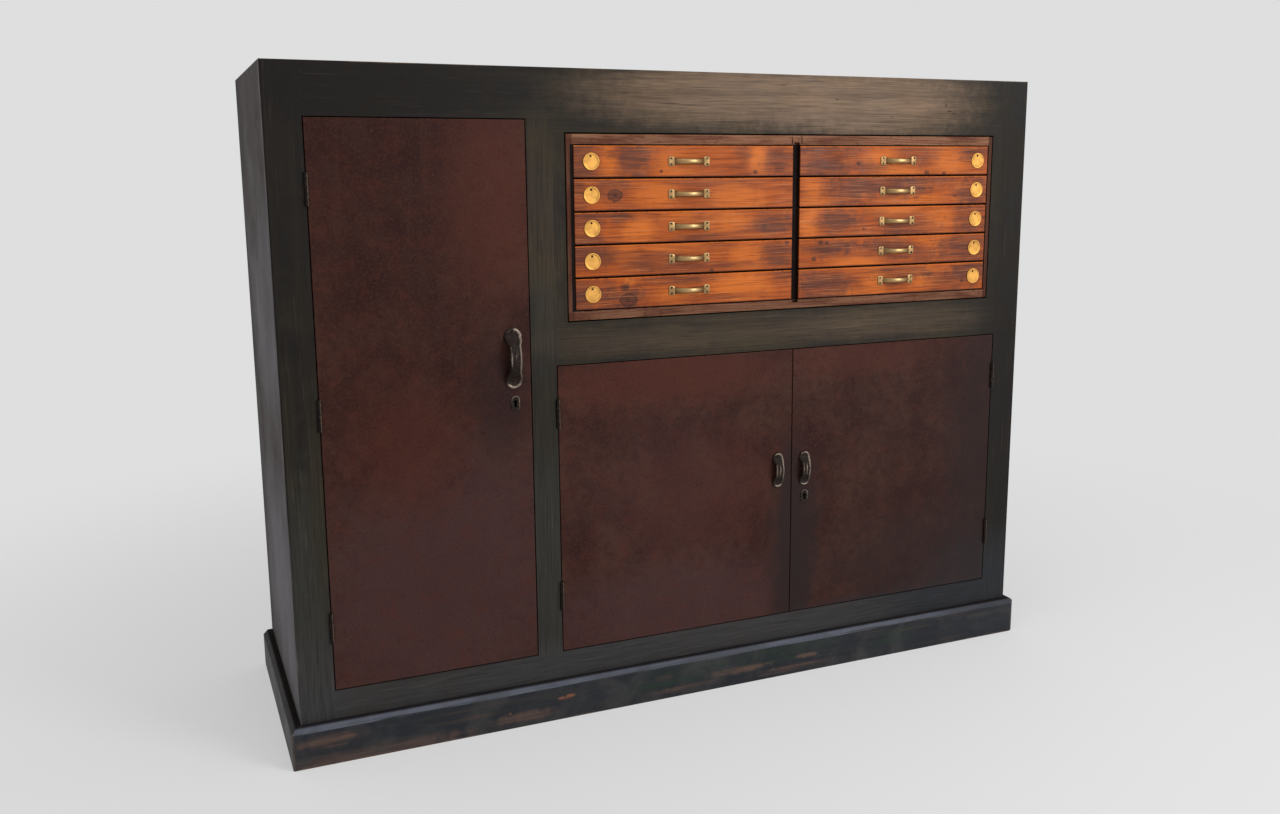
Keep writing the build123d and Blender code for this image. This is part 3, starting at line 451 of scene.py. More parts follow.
# A cloud's row is its tone, then x, z, width, height and strength of each of its blots
# Brown clouds on the top rail, the mid rail and the mid stile: partly thin paint, partly a painted sheen of
# the key light
FRAME_BROWNS_AND_SHEEN = (
    ("frame_brown", (0.08, 1.275, 0.36, 0.075, 0.84), (0.42, 1.265, 0.30, 0.085, 0.96),
     (0.10, 0.785, 0.55, 0.045, 0.17), (0.52, 0.785, 0.28, 0.045, 0.17), (-0.335, 1.00, 0.05, 0.26, 0.11)),
)
FRAME_CLOUDS = (
    ("frame_dark", (-0.66, 1.27, 0.34, 0.10, 0.9), (-0.80, 1.05, 0.09, 0.55, 0.50),
     (0.83, 1.0, 0.10, 0.9, 0.55)),
    ("frame_green", (-0.334, 0.36, 0.10, 0.34, 0.8), (-0.805, 0.30, 0.07, 0.30, 0.9)),
    # Grey along the bottom rail and the foot of the left stile: partly dust, partly a painted reflection of
    # the pale floor
    ("frame_grey", (0.0, 0.105, 1.3, 0.07, 0.85), (-0.80, 0.16, 0.12, 0.12, 0.6)),
    ("frame_green", (-0.334, 0.80, 0.04, 0.16, 0.4)),
    ("frame_dark", (0.80, 0.52, 0.10, 0.46, 0.8), (-0.334, 0.66, 0.05, 0.14, 0.3)),
    ("plinth_black", (0.74, 0.12, 0.34, 0.15, 0.95)),
    ("frame_light", (-0.777, 0.48, 0.026, 0.26, 0.60), (-0.334, 0.62, 0.035, 0.10, 0.45)),
)
# Scars as x, z, width and height
FRAME_SCARS = (
    (0.701, 1.290, 0.0022, 0.0022), (0.612, 1.262, 0.0014, 0.0050), (0.622, 1.249, 0.0060, 0.0014),
    (0.634, 1.244, 0.0060, 0.0012), (0.33, 1.270, 0.0060, 0.0010), (-0.06, 1.255, 0.0300, 0.0008),
    (0.20, 1.296, 0.0050, 0.0009), (0.47, 1.235, 0.0040, 0.0010), (-0.42, 1.250, 0.0070, 0.0010),
)
# Dusty clouds on the sides as level, height and strength
SIDE_CLOUDS = ((0.85, 0.20, 0.48), (0.29, 0.26, 0.66))
PLINTH_CLOUDS = (
    ("plinth_brown", (-0.785, 0.050, 0.065, 0.016, 1.0), (-0.70, 0.010, 0.20, 0.016, 0.85),
     (-0.40, 0.021, 0.070, 0.013, 0.9)),
    ("plinth_chip", (-0.319, 0.0455, 0.011, 0.0050, 1.0), (-0.300, 0.0480, 0.012, 0.0042, 1.0),
     (-0.309, 0.0430, 0.008, 0.0030, 0.9), (-0.430, 0.033, 0.004, 0.0030, 0.8)),
    ("plinth_green", (-0.05, 0.045, 0.14, 0.022, 0.95), (0.20, 0.052, 0.16, 0.018, 1.0),
     (0.50, 0.042, 0.07, 0.022, 0.5)),
    ("plinth_brown", (-0.085, 0.046, 0.022, 0.007, 1.0), (0.09, 0.034, 0.080, 0.010, 1.0),
     (0.265, 0.038, 0.030, 0.007, 1.0), (0.26, 0.014, 0.13, 0.009, 0.9), (-0.02, 0.016, 0.10, 0.008, 0.8),
     (0.285, 0.038, 0.012, 0.004, 0.7)),
    ("plinth_black", (0.76, 0.03, 0.18, 0.09, 0.8)),
)
DOOR_CLOUDS = {
    "tall_door": (
        ("door_red", (-0.43, 1.08, 0.12, 0.22, 0.75)),
        ("door_deep", (-0.66, 1.10, 0.20, 0.22, 0.60), (-0.58, 0.72, 0.22, 0.24, 0.45)),
        # Mauve low on the tall door: partly dust, partly a painted sheen of the pale floor
        ("door_mauve", (-0.565, 0.30, 0.32, 0.30, 0.80), (-0.43, 0.50, 0.12, 0.15, 0.5)),
        ("door_red", (-0.61, 0.60, 0.12, 0.15, 0.50))),
    "lower_left_door": (
        ("door_red", (-0.05, 0.70, 0.30, 0.07, 0.80), (0.02, 0.45, 0.20, 0.14, 0.40)),
        # Mauve low on the lower left door: partly dust, partly a painted sheen of the pale floor
        ("door_mauve", (-0.08, 0.45, 0.25, 0.20, 0.30), (-0.05, 0.20, 0.36, 0.12, 0.80))),
    "lower_right_door": (("door_red", (0.40, 0.71, 0.22, 0.05, 0.55)),),
}
DOOR_GRIME = {
    "tall_door": (("door_smoke", (-0.42, 0.68, 0.07, 0.14, 0.45)),),
    "lower_left_door": (
        ("door_smoke", (0.215, 0.34, 0.05, 0.16, 0.60), (0.224, 0.32, 0.024, 0.27, 0.85),
         (0.215, 0.17, 0.040, 0.14, 0.75)),),
    "lower_right_door": (
        ("door_smoke", (0.26, 0.32, 0.06, 0.18, 0.75), (0.77, 0.44, 0.15, 0.50, 0.75),
         (0.58, 0.22, 0.32, 0.14, 0.60), (0.55, 0.45, 0.30, 0.28, 0.22), (0.240, 0.32, 0.024, 0.27, 0.85)),
        ("plinth_black", (0.75, 0.15, 0.20, 0.12, 0.35)),
        ("door_smoke", (0.250, 0.17, 0.045, 0.14, 0.80)),
        ("plinth_black", (0.47, 0.118, 0.36, 0.042, 0.50))),
}
# Stains and glows in hundredths of a drawer front's width and height, as place, reach and strength
STAINS = {
    "l1": [(3, 50, 9, 90, 90), (26, 55, 10, 75, 95), (76, 70, 5, 40, 70), (93, 55, 9, 60, 85)],
    "l2": [(15, 70, 10, 50, 80), (22, 5, 8, 30, 60), (60, 90, 25, 20, 50), (2, 40, 5, 80, 70)],
    "l3": [(5, 50, 10, 90, 80), (19, 85, 7, 30, 70), (90, 50, 11, 60, 90), (60, 10, 20, 20, 40)],
    "l4": [(6, 75, 12, 50, 80), (30, 30, 10, 25, 60), (93, 50, 9, 60, 90), (55, 15, 20, 20, 50)],
    "l5": [(2, 50, 5.5, 120, 100), (5, 50, 13, 110, 90), (20, 30, 12, 60, 95), (44, 90, 22, 26, 100),
           (95, 85, 7, 40, 80)],
    "r1": [(13, 60, 20, 80, 95), (94, 80, 12, 60, 95), (62, 75, 12, 50, 75), (36, 15, 10, 40, 60)],
    "r2": [(40, 70, 32, 60, 90), (93, 50, 12, 80, 95), (22, 30, 12, 40, 70), (70, 85, 20, 30, 70)],
    "r3": [(20, 60, 13, 60, 95), (92, 55, 12, 70, 90), (58, 25, 20, 35, 60), (40, 85, 8, 30, 50)],
    "r4": [(15, 70, 16, 50, 95), (88, 50, 18, 80, 95), (45, 60, 18, 50, 80), (65, 30, 10, 40, 60)],
    "r5": [(12, 45, 18, 80, 95), (55, 80, 20, 40, 85), (93, 70, 13, 60, 95), (78, 25, 14, 50, 65)],
}
GLOWS = {
    "l1": [(15, 50, 5, 60, 80), (45, 40, 12, 60, 60), (83, 55, 6, 70, 95)],
    "l2": [(36, 50, 12, 50, 60), (72, 35, 16, 60, 70)],
    "l3": [(28, 45, 8, 60, 80), (68, 60, 14, 50, 80), (46, 80, 10, 30, 60)],
    "l4": [(22, 70, 6, 40, 70), (45, 75, 20, 35, 60), (78, 55, 10, 50, 80)],
    "l5": [(23.5, 88, 3, 20, 90), (74, 50, 18, 60, 85), (44, 35, 10, 40, 60)],
    "r1": [(42, 55, 10, 50, 80), (52, 12, 14, 30, 90), (78, 45, 12, 50, 80)],
    "r2": [(7, 65, 6, 50, 70), (60, 20, 18, 30, 80), (10, 10, 10, 30, 60)],
    "r3": [(5, 50, 6, 80, 80), (48, 85, 14, 30, 80), (74, 55, 10, 50, 70)],
    "r4": [(30, 10, 16, 25, 80), (70, 80, 10, 30, 60)],
    "r5": [(40, 45, 8, 60, 80), (66, 55, 10, 50, 90), (25, 10, 10, 30, 60)],
}
# Knots in hundredths of the front, with their radius in millimetres
KNOTS = {
    "l1": [(38, 18, 3), (81.5, 14, 4)],
    "l2": [(17.5, 48, 12)],
    "l3": [(86, 42, 5)],
    "l4": [(97.5, 90, 4), (61, 6, 3.5)],
    "l5": [(21.5, 66, 7), (23, 25, 14)],
    "r1": [(29.5, 40, 4), (66, 8, 4.5), (75.5, 5, 4)],
    "r2": [(82, 30, 3)],
    "r3": [(33, 25, 3)],
    "r4": [(11, 86, 4.5), (14, 84, 4), (7.5, 30, 4.5)],
    "r5": [(88, 35, 3.5)],
}


class Finish(Bench):
    """A material under way: its shader, the place on the object and the colour laid so far."""

    def __init__(self, name, under):
        self.material = bpy.data.materials.new(name)
        self.material.use_nodes = True
        self.material.node_tree.nodes.clear()
        super().__init__(self.material.node_tree)
        self.tones = bpy.context.scene.cabinet_finishes
        self.shader = self.lay("ShaderNodeBsdfPrincipled")
        self.outlet = self.lay("ShaderNodeOutputMaterial", {"Surface": Wire(self, self.shader.outputs[0])})
        self.place = self.wire("ShaderNodeTexCoord", "Object")
        self.colour = self.tone(under)

    def tone(self, tone):
        """A colour by its name among the finishes, or a colour as it is."""
        return getattr(self.tones, tone) if isinstance(tone, str) else tone

    def blend(self, under, over, mask):
        """One colour over another."""
        feeds = {0: mask, 6: self.tone(under), 7: self.tone(over)}
        return self.wire("ShaderNodeMix", 2, feeds, data_type="RGBA")

    def over(self, tone, mask):
        """Lays a tone over the colour so far."""
        self.colour = self.blend(self.colour, tone, mask)

    def round(self, low, high):
        """The place turned upright between two levels only, for strips that run round an opening."""
        feeds = {0: self.place.split().z.between(low, high), 4: self.place, 5: self.place.along("Z")}
        return self.wire("ShaderNodeMix", 1, feeds, data_type="VECTOR")

    def brush(self, line, seed):
        """Brush marks that run with a turned place."""
        return self.group("Brush marks", place=line, seed=seed)

    def grain(self, line, spacing, seed):
        """Wood grain that runs with a turned place."""
        return self.group("Timber grain", place=line, spacing=spacing, seed=seed)

    def grime(self, size, seed):
        """Clouds and specks of grime."""
        return self.group("Grime clouds", place=self.place, size=size, seed=seed)

    def arris(self, box, reach, seed):
        """Wear along the arrises of a box, given by its lowest and highest corner."""
        low, high = box
        return self.group("Arris wear", place=self.place, low=low, high=high, reach=reach, seed=seed).wear

    def blot(self, centre, reach, rough):
        """The mask of one ragged blot."""
        return self.group("Ragged blot", place=self.place, centre=centre, reach=reach, rough=rough).mask

    def clouds(self, rows, face, rough, veil=None):
        """Lays a table of blots on a face, broken up by a veil where there is one."""
        for tone, *blots in rows:
            for x, z, wide, tall, amount in blots:
                mask = self.blot((x, face, z), (wide, FAR, tall), rough) * amount
                self.over(tone, mask * veil if veil else mask)

    def worn(self):
        """The wear, and on the door pulls also a painted highlight, that a piece carries in its own mesh."""
        return self.wire("ShaderNodeAttribute", "Fac", attribute_name="worn")

    def done(self, rough, height, depth, strength, gloss=0.5, metal=0.0):
        """Feeds the shader its colour, sheen and bumped skin, and gives the material."""
        bump = self.wire("ShaderNodeBump", 0, {"Height": height, "Distance": depth, "Strength": strength})
        self.feed(self.shader, {
            "Base Color": self.colour, "Roughness": rough, "Specular IOR Level": gloss, "Metallic": metal,
            "Normal": bump})
        return self.material


def frame_paint(node, axis, seed):
    """One coat of old near-black paint over the whole frame: clouds, rubbed wear and browns that are partly a
    painted sheen run on across joints, and only the brush marks turn with each member."""
    strip, edge_in, edge_out = 0.030, 0.0045, 0.0015
    warm_from, warm_to, soot_and_shade_from, soot_and_shade_to = 0.70, 1.25, 0.30, 0.60
    coat_seed = 3.0
    low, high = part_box(node)
    finish = Finish(f"frame_paint_{node}", "frame_dark")
    at = finish.place.split()
    line = finish.round(low.z + strip, high.z - strip) if axis == "round" else finish.place.along(axis)
    brush = finish.brush(line, seed)
    grain = finish.grain(line, spacing=0.011, seed=seed)
    grime = finish.grime(size=9.0, seed=coat_seed)
    wear = finish.arris(BODY, reach=0.0020, seed=coat_seed)
    finish.over("frame_light", grime.cloud.ease(0.40, 0.68))
    finish.over("frame_light", brush.strokes.ease(0.34, 0.68) * 0.55)
    # Browns that are partly a painted sheen on the rails
    finish.clouds(FRAME_BROWNS_AND_SHEEN, FRONT, rough=0.5, veil=brush.strokes.ease(0.25, 0.62, first=0.55))
    finish.clouds(FRAME_CLOUDS, FRONT, rough=0.5)
    finish.over("rubbed", brush.marks.ease(0.60, 0.78, 0.22))
    finish.over("frame_dark", brush.marks.ease(0.44, 0.28, 0.70))
    finish.over("frame_dark", grain.fibre.ease(0.60, 0.40, 0.35))
    finish.over("rubbed", grime.speck * 0.35)
    for x, z, wide, tall in FRAME_SCARS:
        finish.over("soot", finish.blot((x, FRONT, z), (wide, FAR, tall), rough=0.3))
    finish.over(finish.blend("side_dust", "rubbed", at.z.ease(warm_from, warm_to)), wear * 0.50)
    if node == "left_stile":
        edge = at.x.ease(low.x + edge_in, low.x + edge_out)
        finish.over("soot", edge * at.z.ease(soot_and_shade_from, soot_and_shade_to, 0.85))
    rough = grime.cloud.ease(0.3, 0.75, 0.60, first=0.42) + brush.marks.ease(0.3, 0.7, 0.10)
    height = brush.marks * 0.6 + grain.rings * 0.35 - wear * 0.4
    return finish.done(rough, height, depth=0.0007, strength=0.40, gloss=0.15)


def side_paint(node, axis, seed):
    """Dull dark grey paint with long brush marks, dusty on the sides and darker towards the back."""
    cloud_in, cloud_deep = 0.10, 0.42
    dusk_from, dusk_to = 0.09, 0.02
    low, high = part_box(node)
    finish = Finish(f"side_paint_{node}", "frame_dark")
    brush = finish.brush(finish.place.along(axis), seed)
    grime = finish.grime(size=7.0, seed=seed)
    wear = finish.arris(BODY, reach=0.0024, seed=seed)
    finish.over("side_grey", grime.cloud.ease(0.20, 0.48))
    finish.over("plinth_black", grime.cloud.ease(0.45, 0.72, 0.25))
    finish.over("frame_grey", brush.strokes.ease(0.52, 0.70, 0.35))
    for z, tall, amount in SIDE_CLOUDS if axis == "Z" else ():
        mask = finish.blot((low.x, low.y + cloud_in, z), (FAR, cloud_deep, tall), rough=0.5)
        finish.over("side_dust", mask * brush.strokes.ease(0.30, 0.62, amount, first=0.85 * amount))
    finish.over("frame_dark", finish.place.split().y.ease(high.y - dusk_from, high.y - dusk_to, 0.5))
    finish.over("frame_grey", brush.marks.ease(0.58, 0.76, 0.12))
    finish.over("rubbed", grime.speck * 0.3)
    finish.over("side_dust", wear * 0.5)
    rough = grime.cloud.ease(0.3, 0.70, 0.56, first=0.70)
    return finish.done(rough, brush.marks, depth=0.0006, strength=0.15, gloss=0.10)


def plinth_paint(node, clouds, bevel_light_and_shade, seed):
    """Blue-black paint, kicked down to brown wood and older green, with a bevel tone that is partly dust and
    partly a painted highlight on the front and painted shade on the returns, and a black ledge of painted
    shade.
    """
    bevel_low, bevel_high = 0.0115, 0.0075
    ledge_out, ledge_in = 0.0135, 0.0095
    ledge_low, ledge_high = 0.006, 0.003
    ragged, bevel_fade_end, bevel_fade_full = 0.002, 0.85, 0.40
    is_front = node == "plinth_front"
    low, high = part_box(node)
    top = high.z
    finish = Finish(f"plinth_paint_{node}", "plinth_black")
    at = finish.place.split()
    brush = finish.brush(finish.place.along("X" if is_front else "Y"), seed)
    grime = finish.grime(size=12.0, seed=seed)
    wear = finish.arris((low, (high.x, FAR if is_front else high.y, top)), reach=0.003, seed=seed)
    finish.over("frame_grey", grime.cloud.ease(0.40, 0.70))
    finish.over("frame_green", brush.strokes.ease(0.48, 0.75, 0.45))
    finish.clouds(clouds, low.y, rough=1.5, veil=brush.strokes.ease(0.38, 0.56, first=0.15))
    finish.over("plinth_brown", brush.strokes.ease(0.54, 0.70) * grime.patch.ease(0.44, 0.60) * 0.35)
    finish.over("frame_grey", brush.marks.ease(0.56, 0.74, 0.35))
    finish.over("rubbed", grime.speck * 0.6)
    # The bevel's tone: a pale blue grey on the front, partly dust and partly a painted highlight, and soot on
    # the returns as painted shade
    level = at.z + brush.marks.ease(0.35, 0.65, ragged, first=-ragged)
    dusty = level.ease(top - bevel_low, top - bevel_high) * grime.cloud.ease(0.62, 0.38, first=0.65)
    dusty = dusty * at.x.ease(bevel_fade_end, bevel_fade_full, first=0.35)
    finish.over(bevel_light_and_shade, dusty * brush.strokes.ease(0.34, 0.56, first=0.75))
    # Painted shade on the flat ledge behind the bevel
    inset = FRONT - at.y if is_front else abs(at.x) - SIDE
    ledge = inset.ease(ledge_out, ledge_in) * at.z.ease(top - ledge_low, top - ledge_high)
    finish.over("soot", ledge * 0.9)
    finish.over("rubbed", wear * 0.35)
    rough = grime.cloud.ease(0.3, 0.72, 0.60, first=0.42) + ledge * 0.4
    return finish.done(rough, brush.marks + grime.mottle * 0.5, depth=0.0008, strength=0.35, gloss=0.10)


def door_paint(node, seed):
    """Oxblood paint: brown clouds, a redder bloom, smoky and mauve grime and a leathery mottle."""
    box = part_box(node)
    face = box[0].y
    finish = Finish(f"door_paint_{node}", "door_deep")
    brush = finish.brush(finish.place.along("Z"), seed)
    grime = finish.grime(size=8.0, seed=seed)
    fine = finish.grime(size=30.0, seed=seed + 0.5)
    wear = finish.arris(box, reach=0.0018, seed=seed)
    finish.over("door_brown", grime.cloud.ease(0.34, 0.66))
    finish.over("door_deep", grime.mottle.ease(0.42, 0.66, 0.65))
    finish.clouds(DOOR_CLOUDS[node], face, rough=0.9)
    finish.over("door_brown", fine.mottle.ease(0.46, 0.70, 0.60))
    finish.over("door_red", fine.cloud.ease(0.46, 0.76, 0.50))
    finish.over("door_brown", brush.strokes.ease(0.56, 0.74, 0.25))
    finish.over("door_deep", fine.mottle.ease(0.50, 0.30, 0.45))
    finish.clouds(DOOR_GRIME[node], face, rough=0.9)
    finish.over("rubbed", grime.speck * 0.18)
    finish.over("door_brown", wear * 0.25)
    rough = grime.cloud.ease(0.3, 0.72, 0.50, first=0.36) + grime.mottle.ease(0.35, 0.7, 0.10)
    height = brush.marks * 0.25 + fine.mottle * 0.75
    return finish.done(rough, height, depth=0.0006, strength=0.35, gloss=0.13)


def drawer_varnish(name, seed):
    """Varnished pine on a stained and knotted drawer front, with painted shade on its edges, a painted
    highlight along its top and bare pine on the tray.
    """
    skin, soot_and_shade_from, soot_and_shade_to = 0.0004, 0.0008, 0.0022
    lit_low, lit_high, foot_high, foot_low = 0.0026, 0.0008, 0.0034, 0.0008
    end_in, end_out, tray_from, tray_to = 0.0020, 0.0005, 0.0150, 0.0165
    low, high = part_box(f"drawer_{name}")
    size = high - low
    face = low.y
    finish = Finish(f"drawer_varnish_{name}", "pine_early")
    at = finish.place.split()
    grain = finish.grain(finish.place, spacing=0.0105, seed=seed)
    grime = finish.grime(size=16.0, seed=seed)

    def spot(u, v):
        return (low.x + PERCENT * u * size.x, face, low.z + PERCENT * v * size.z)

    def blots(rows, tone, rough, veil):
        for u, v, wide, tall, amount in rows:
            reach = (PERCENT * wide * size.x, FAR, PERCENT * tall * size.z)
            finish.over(tone, finish.blot(spot(u, v), reach, rough) * (PERCENT * amount) * veil)

    finish.over("pine_late", grain.rings * 0.85)
    finish.over("pine_late", grain.figure.ease(0.44, 0.72, 0.75))
    blots(GLOWS[name], "pine_glow", rough=1.0, veil=grain.figure.ease(0.70, 0.40, first=0.35))
    streaks = grain.figure.ease(0.36, 0.54, first=0.45) * grain.fibre.ease(0.40, 0.60, first=0.7)
    blots(STAINS[name], "pine_stain", rough=1.9, veil=streaks)
    finish.over("pine_stain", grain.figure.ease(0.56, 0.76, 0.55))
    for u, v, radius in KNOTS[name]:
        knot = finish.group("Pine knot", place=finish.place, centre=spot(u, v), radius=radius * MM)
        finish.over("pine_stain", knot.halo * 0.90)
        finish.over("pine_knot", knot.halo * 0.60)
        finish.over("pine_knot", knot.rim * 0.50)
        finish.over("pine_knot", knot.eye * 0.85)
    finish.over("pine_knot", grain.fibre.ease(0.53, 0.68, 0.60))
    finish.over("pine_pale", grain.fibre.ease(0.46, 0.32, 0.34))
    finish.over("pine_knot", grain.pores.ease(0.64, 0.74, 0.60))
    # Painted highlight along the top arris of the front
    lit = at.z.ease(high.z - lit_low, high.z - lit_high)
    finish.over("pine_glow", lit * grime.mottle.ease(0.35, 0.55, 0.8, first=0.25))
    # Painted shade along the foot and the right end of the front
    foot = at.z.ease(low.z + foot_high, low.z + foot_low)
    end = at.x.ease(high.x - end_in, high.x - end_out)
    finish.over("pine_knot", foot.most(end) * 0.85)
    # Painted shade on the front's top, bottom and ends, down in the gaps between the drawers
    inside = at.z.between(low.z + skin, high.z - skin) * at.x.between(low.x + skin, high.x - skin)
    finish.over("soot", (1.0 - inside) * at.y.ease(face + soot_and_shade_from, face + soot_and_shade_to) * 0.9)
    behind = at.y.ease(face + tray_from, face + tray_to)
    tray = finish.grain(finish.place.along("Y"), spacing=0.008, seed=seed + 0.37)
    bare = finish.blend("bare_pine", "bare_late", tray.rings * 0.8)
    finish.over(finish.blend(bare, "casing_pine", grime.cloud.ease(0.45, 0.72, 0.4)), behind)
    rough = grime.cloud.ease(0.32, 0.70, 0.52, first=0.34).most(behind * 0.7)
    return finish.done(rough, grain.fibre * 0.5 + grain.rings * 0.4, depth=0.0005, strength=0.30, gloss=0.14)


def inner_pine(node, axis, seed, early="bare_pine", late="bare_late", boards=0):
    """Unpainted wood with clouds of dust; each of its boards, where it has some, has its own figure."""
    low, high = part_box(node)
    finish = Finish(f"inner_pine_{node}", early)
    line = finish.place
    if boards:
        run = (finish.place.split().x - low.x) / ((high.x - low.x) / boards)
        number = worked("FLOOR", run)
        line = line + finish.join(0.0, number * 1.37, number * 2.91)
    grain = finish.grain(line.along(axis), spacing=0.012, seed=seed)
    grime = finish.grime(size=9.0, seed=seed)
    wear = finish.arris((low, high), reach=0.002, seed=seed)
    finish.over(late, grain.rings * 0.9)
    finish.over(late, grain.figure.ease(0.45, 0.72, 0.55))
    finish.over("pine_stain", grain.fibre.ease(0.58, 0.76, 0.35))
    finish.over("casing_pine", grime.cloud.ease(0.46, 0.72, 0.55))
    finish.over("pine_stain", grime.mottle.ease(0.56, 0.74, 0.45))
    finish.over("pine_knot", grime.speck * 0.6)
    finish.over(early, wear * 0.4)
    if boards:
        finish.over("soot", abs(run - worked("ROUND", run)).ease(0.016, 0.007, 0.9))
    rough = grime.cloud.ease(0.3, 0.7, 0.82, first=0.62)
    return finish.done(rough, grain.fibre * 0.6 + grain.rings * 0.5, depth=0.0007, strength=0.4, gloss=0.35)


def casing_wood(node, seed):
    """The drawer casing: brown front edges under dust, painted shade next to the drawers, and a bay painted
    near-black as shade.
    """
    joint, scratch_out, scratch_rise, scratch = 0.003, 0.0115, 0.010, (0.0016, FAR, 0.012)
    left_near, left_far, floor_dusk, right_near, right_far = 0.002, 0.004, 0.01, 0.0005, 0.002
    left_gap, right_gap, floor_gap, roof_gap = 0.0068, 0.001, 0.001, 0.0016
    soot_and_shade_from, soot_and_shade_to, ragged, bay_from, bay_to = 0.0016, 0.0004, 0.0012, 0.001, 0.012
    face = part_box(node)[0].y
    (left, _, floor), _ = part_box("drawer_l5")
    _, (left_end, _, roof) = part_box("drawer_l1")
    (right_start, _, _), (right, _, _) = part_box("drawer_r1")
    finish = Finish(f"casing_wood_{node}", "casing_pine")
    at = finish.place.split()
    grain = finish.grain(finish.round(floor - joint, roof + joint), spacing=0.006, seed=seed)
    grime = finish.grime(size=14.0, seed=seed)
    finish.over("pine_stain", grain.rings * 0.8)
    finish.over("pine_stain", grain.figure.ease(0.44, 0.60, 0.9))
    finish.over("bare_late", grain.fibre.ease(0.47, 0.33, 0.75))
    finish.over("pine_knot", grain.fibre.ease(0.54, 0.72, 0.6))
    finish.over("pine_knot", grime.mottle.ease(0.55, 0.72, 0.6))
    # Painted shade on the casing next to the drawers: a band at their left, along the floor of the bay and at
    # their right
    dusk = at.x.ease(left - left_near, left - left_far)
    dusk = dusk.most(at.z.ease(floor + floor_dusk, floor - floor_dusk, 0.45))
    finish.over("pine_knot", dusk * 0.62)
    finish.over("pine_knot", at.x.ease(right + right_near, right + right_far, 0.82))
    # Painted shade in the gaps round the drawer bay
    across = (left - left_gap - at.x).most(at.x - (right + right_gap))
    upright = (floor - floor_gap - at.z).most(at.z - (roof + roof_gap))
    off = across.most(upright) + (grime.mottle - 0.5) * ragged
    finish.over("soot", off.ease(soot_and_shade_from, soot_and_shade_to))
    middle = 0.5 * (left_end + right_start)
    for x in (middle - scratch_out, middle + scratch_out):
        finish.over("soot", finish.blot((x, face, roof + scratch_rise), scratch, rough=0.5))
    # The bay behind the front painted near-black as shade
    finish.over("soot", at.y.ease(face + bay_from, face + bay_to))
    rough = grime.cloud.ease(0.3, 0.7, 0.8, first=0.55)
    return finish.done(rough, grain.fibre * 0.6 + grain.rings * 0.5, depth=0.0007, strength=0.4, gloss=0.08)


def aged_brass(name, body, bright, seed, rough):
    """Tarnished brass, brighter where the piece's own worn attribute says that hands rub it."""
    finish = Finish(name, body)
    worn = finish.worn()
    grime = finish.grime(size=60.0, seed=seed)
    dull = grime.cloud.ease(0.36, 0.68).most(grime.mottle.ease(0.52, 0.70, 0.6))
    dull = (dull * (1.0 - worn * 0.80)).most(worn.ease(0.28, 0.0, 0.8))
    finish.over("tarnish", dull)
    finish.over(bright, worn * 0.55)
    return finish.done(dull * 0.22 + rough, grime.mottle, depth=0.0003, strength=0.25, metal=1.0)


def rim_wear_and_highlight(finish, plate):
    """Wear round the rim of an upright plate with half round ends, brighter towards its upper right as a
    painted highlight where the light falls.
    """
    low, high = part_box(plate)
    centre, half = 0.5 * (low + high), 0.5 * (high - low)
    at = finish.place.split()
    across, up = at.x - centre.x, at.z - centre.z
    beyond = (abs(up) - (half.z - half.x)).most(0.0)
    far = worked("LENGTH", finish.join(across, 0.0, beyond))
    return far.ease(0.60 * half.x, 0.92 * half.x) * (across + up).ease(-half.x, half.z, 0.80, first=0.45)


def casting_black(name, seed, plate=None):
    """Blackened casting with a pitted skin, bright as its mesh says or round a plate's rim: partly rubbed
    bare, partly a painted highlight.
    """
    finish = Finish(name, "casting")
    grime = finish.grime(size=45.0, seed=seed)
    worn = rim_wear_and_highlight(finish, plate) if plate else finish.worn()
    patch = grime.cloud * 1.1 + grime.mottle * 0.9 - 1.0
    bare = (worn + patch).ease(0.40, 1.0)
    finish.over("rust", grime.mottle.ease(0.45, 0.75, 0.30))
    finish.over("casting_worn", bare)
    rough = grime.cloud.ease(0.3, 0.7, 0.60, first=0.46) - bare * 0.12
    return finish.done(rough, grime.mottle, depth=0.0005, strength=0.35, gloss=0.16, metal=bare * 0.9)


def worn_steel(name, seed, shade=1.0):
    """Grey steel with brown rust blooms and scuffs, darker by its shade."""
    finish = Finish(name, "steel")
    finish.colour = tuple(part * shade for part in finish.colour)
    grime = finish.grime(size=38.0, seed=seed)
    rust = grime.cloud.ease(0.46, 0.64)
    finish.over("rust", rust)
    finish.over("casting", grime.mottle.ease(0.5, 0.7, 0.5))
    rough = grime.cloud.ease(0.32, 0.66, 0.68, first=0.36)
    return finish.done(rough, grime.mottle, depth=0.0004, strength=0.35, metal=0.95 - rust * 0.75)


def painted_iron(name, seed):
    """Iron brushed over with the frame's dark paint and chipped to rust, with a painted highlight along the
    lit side of each knuckle.
    """
    knuckle_out, line_edge, line_core, proud_low, proud_high = 0.0020, 0.0012, 0.0005, 0.0005, 0.0015
    finish = Finish(name, "soot")
    at = finish.place.split()
    grime = finish.grime(size=40.0, seed=seed)
    finish.over("frame_dark", grime.cloud.ease(0.38, 0.66))
    finish.over("rust", grime.mottle.ease(0.58, 0.68) * 0.6)
    # A thin painted highlight along the lit side of each hinge knuckle, on the part in front of the frame
    proud = at.y.ease(FRONT - proud_low, FRONT - proud_high) * grime.mottle.ease(0.35, 0.60, 0.6, first=0.1)
    for pin in PINS.values():
        finish.over("rubbed", abs(at.x - (pin + knuckle_out)).ease(line_edge, line_core) * proud)
    rough = grime.cloud.ease(0.32, 0.66, 0.65, first=0.45)
    return finish.done(rough, grime.mottle, depth=0.0004, strength=0.4, gloss=0.12)


def coat(node, material):
    """Puts a finish on a solid's own slot."""
    solid = frame["nodes"][node]
    if not solid.material_slots:
        solid.data.materials.append(material)
    for slot in solid.material_slots:
        slot.material = material


# Shapes


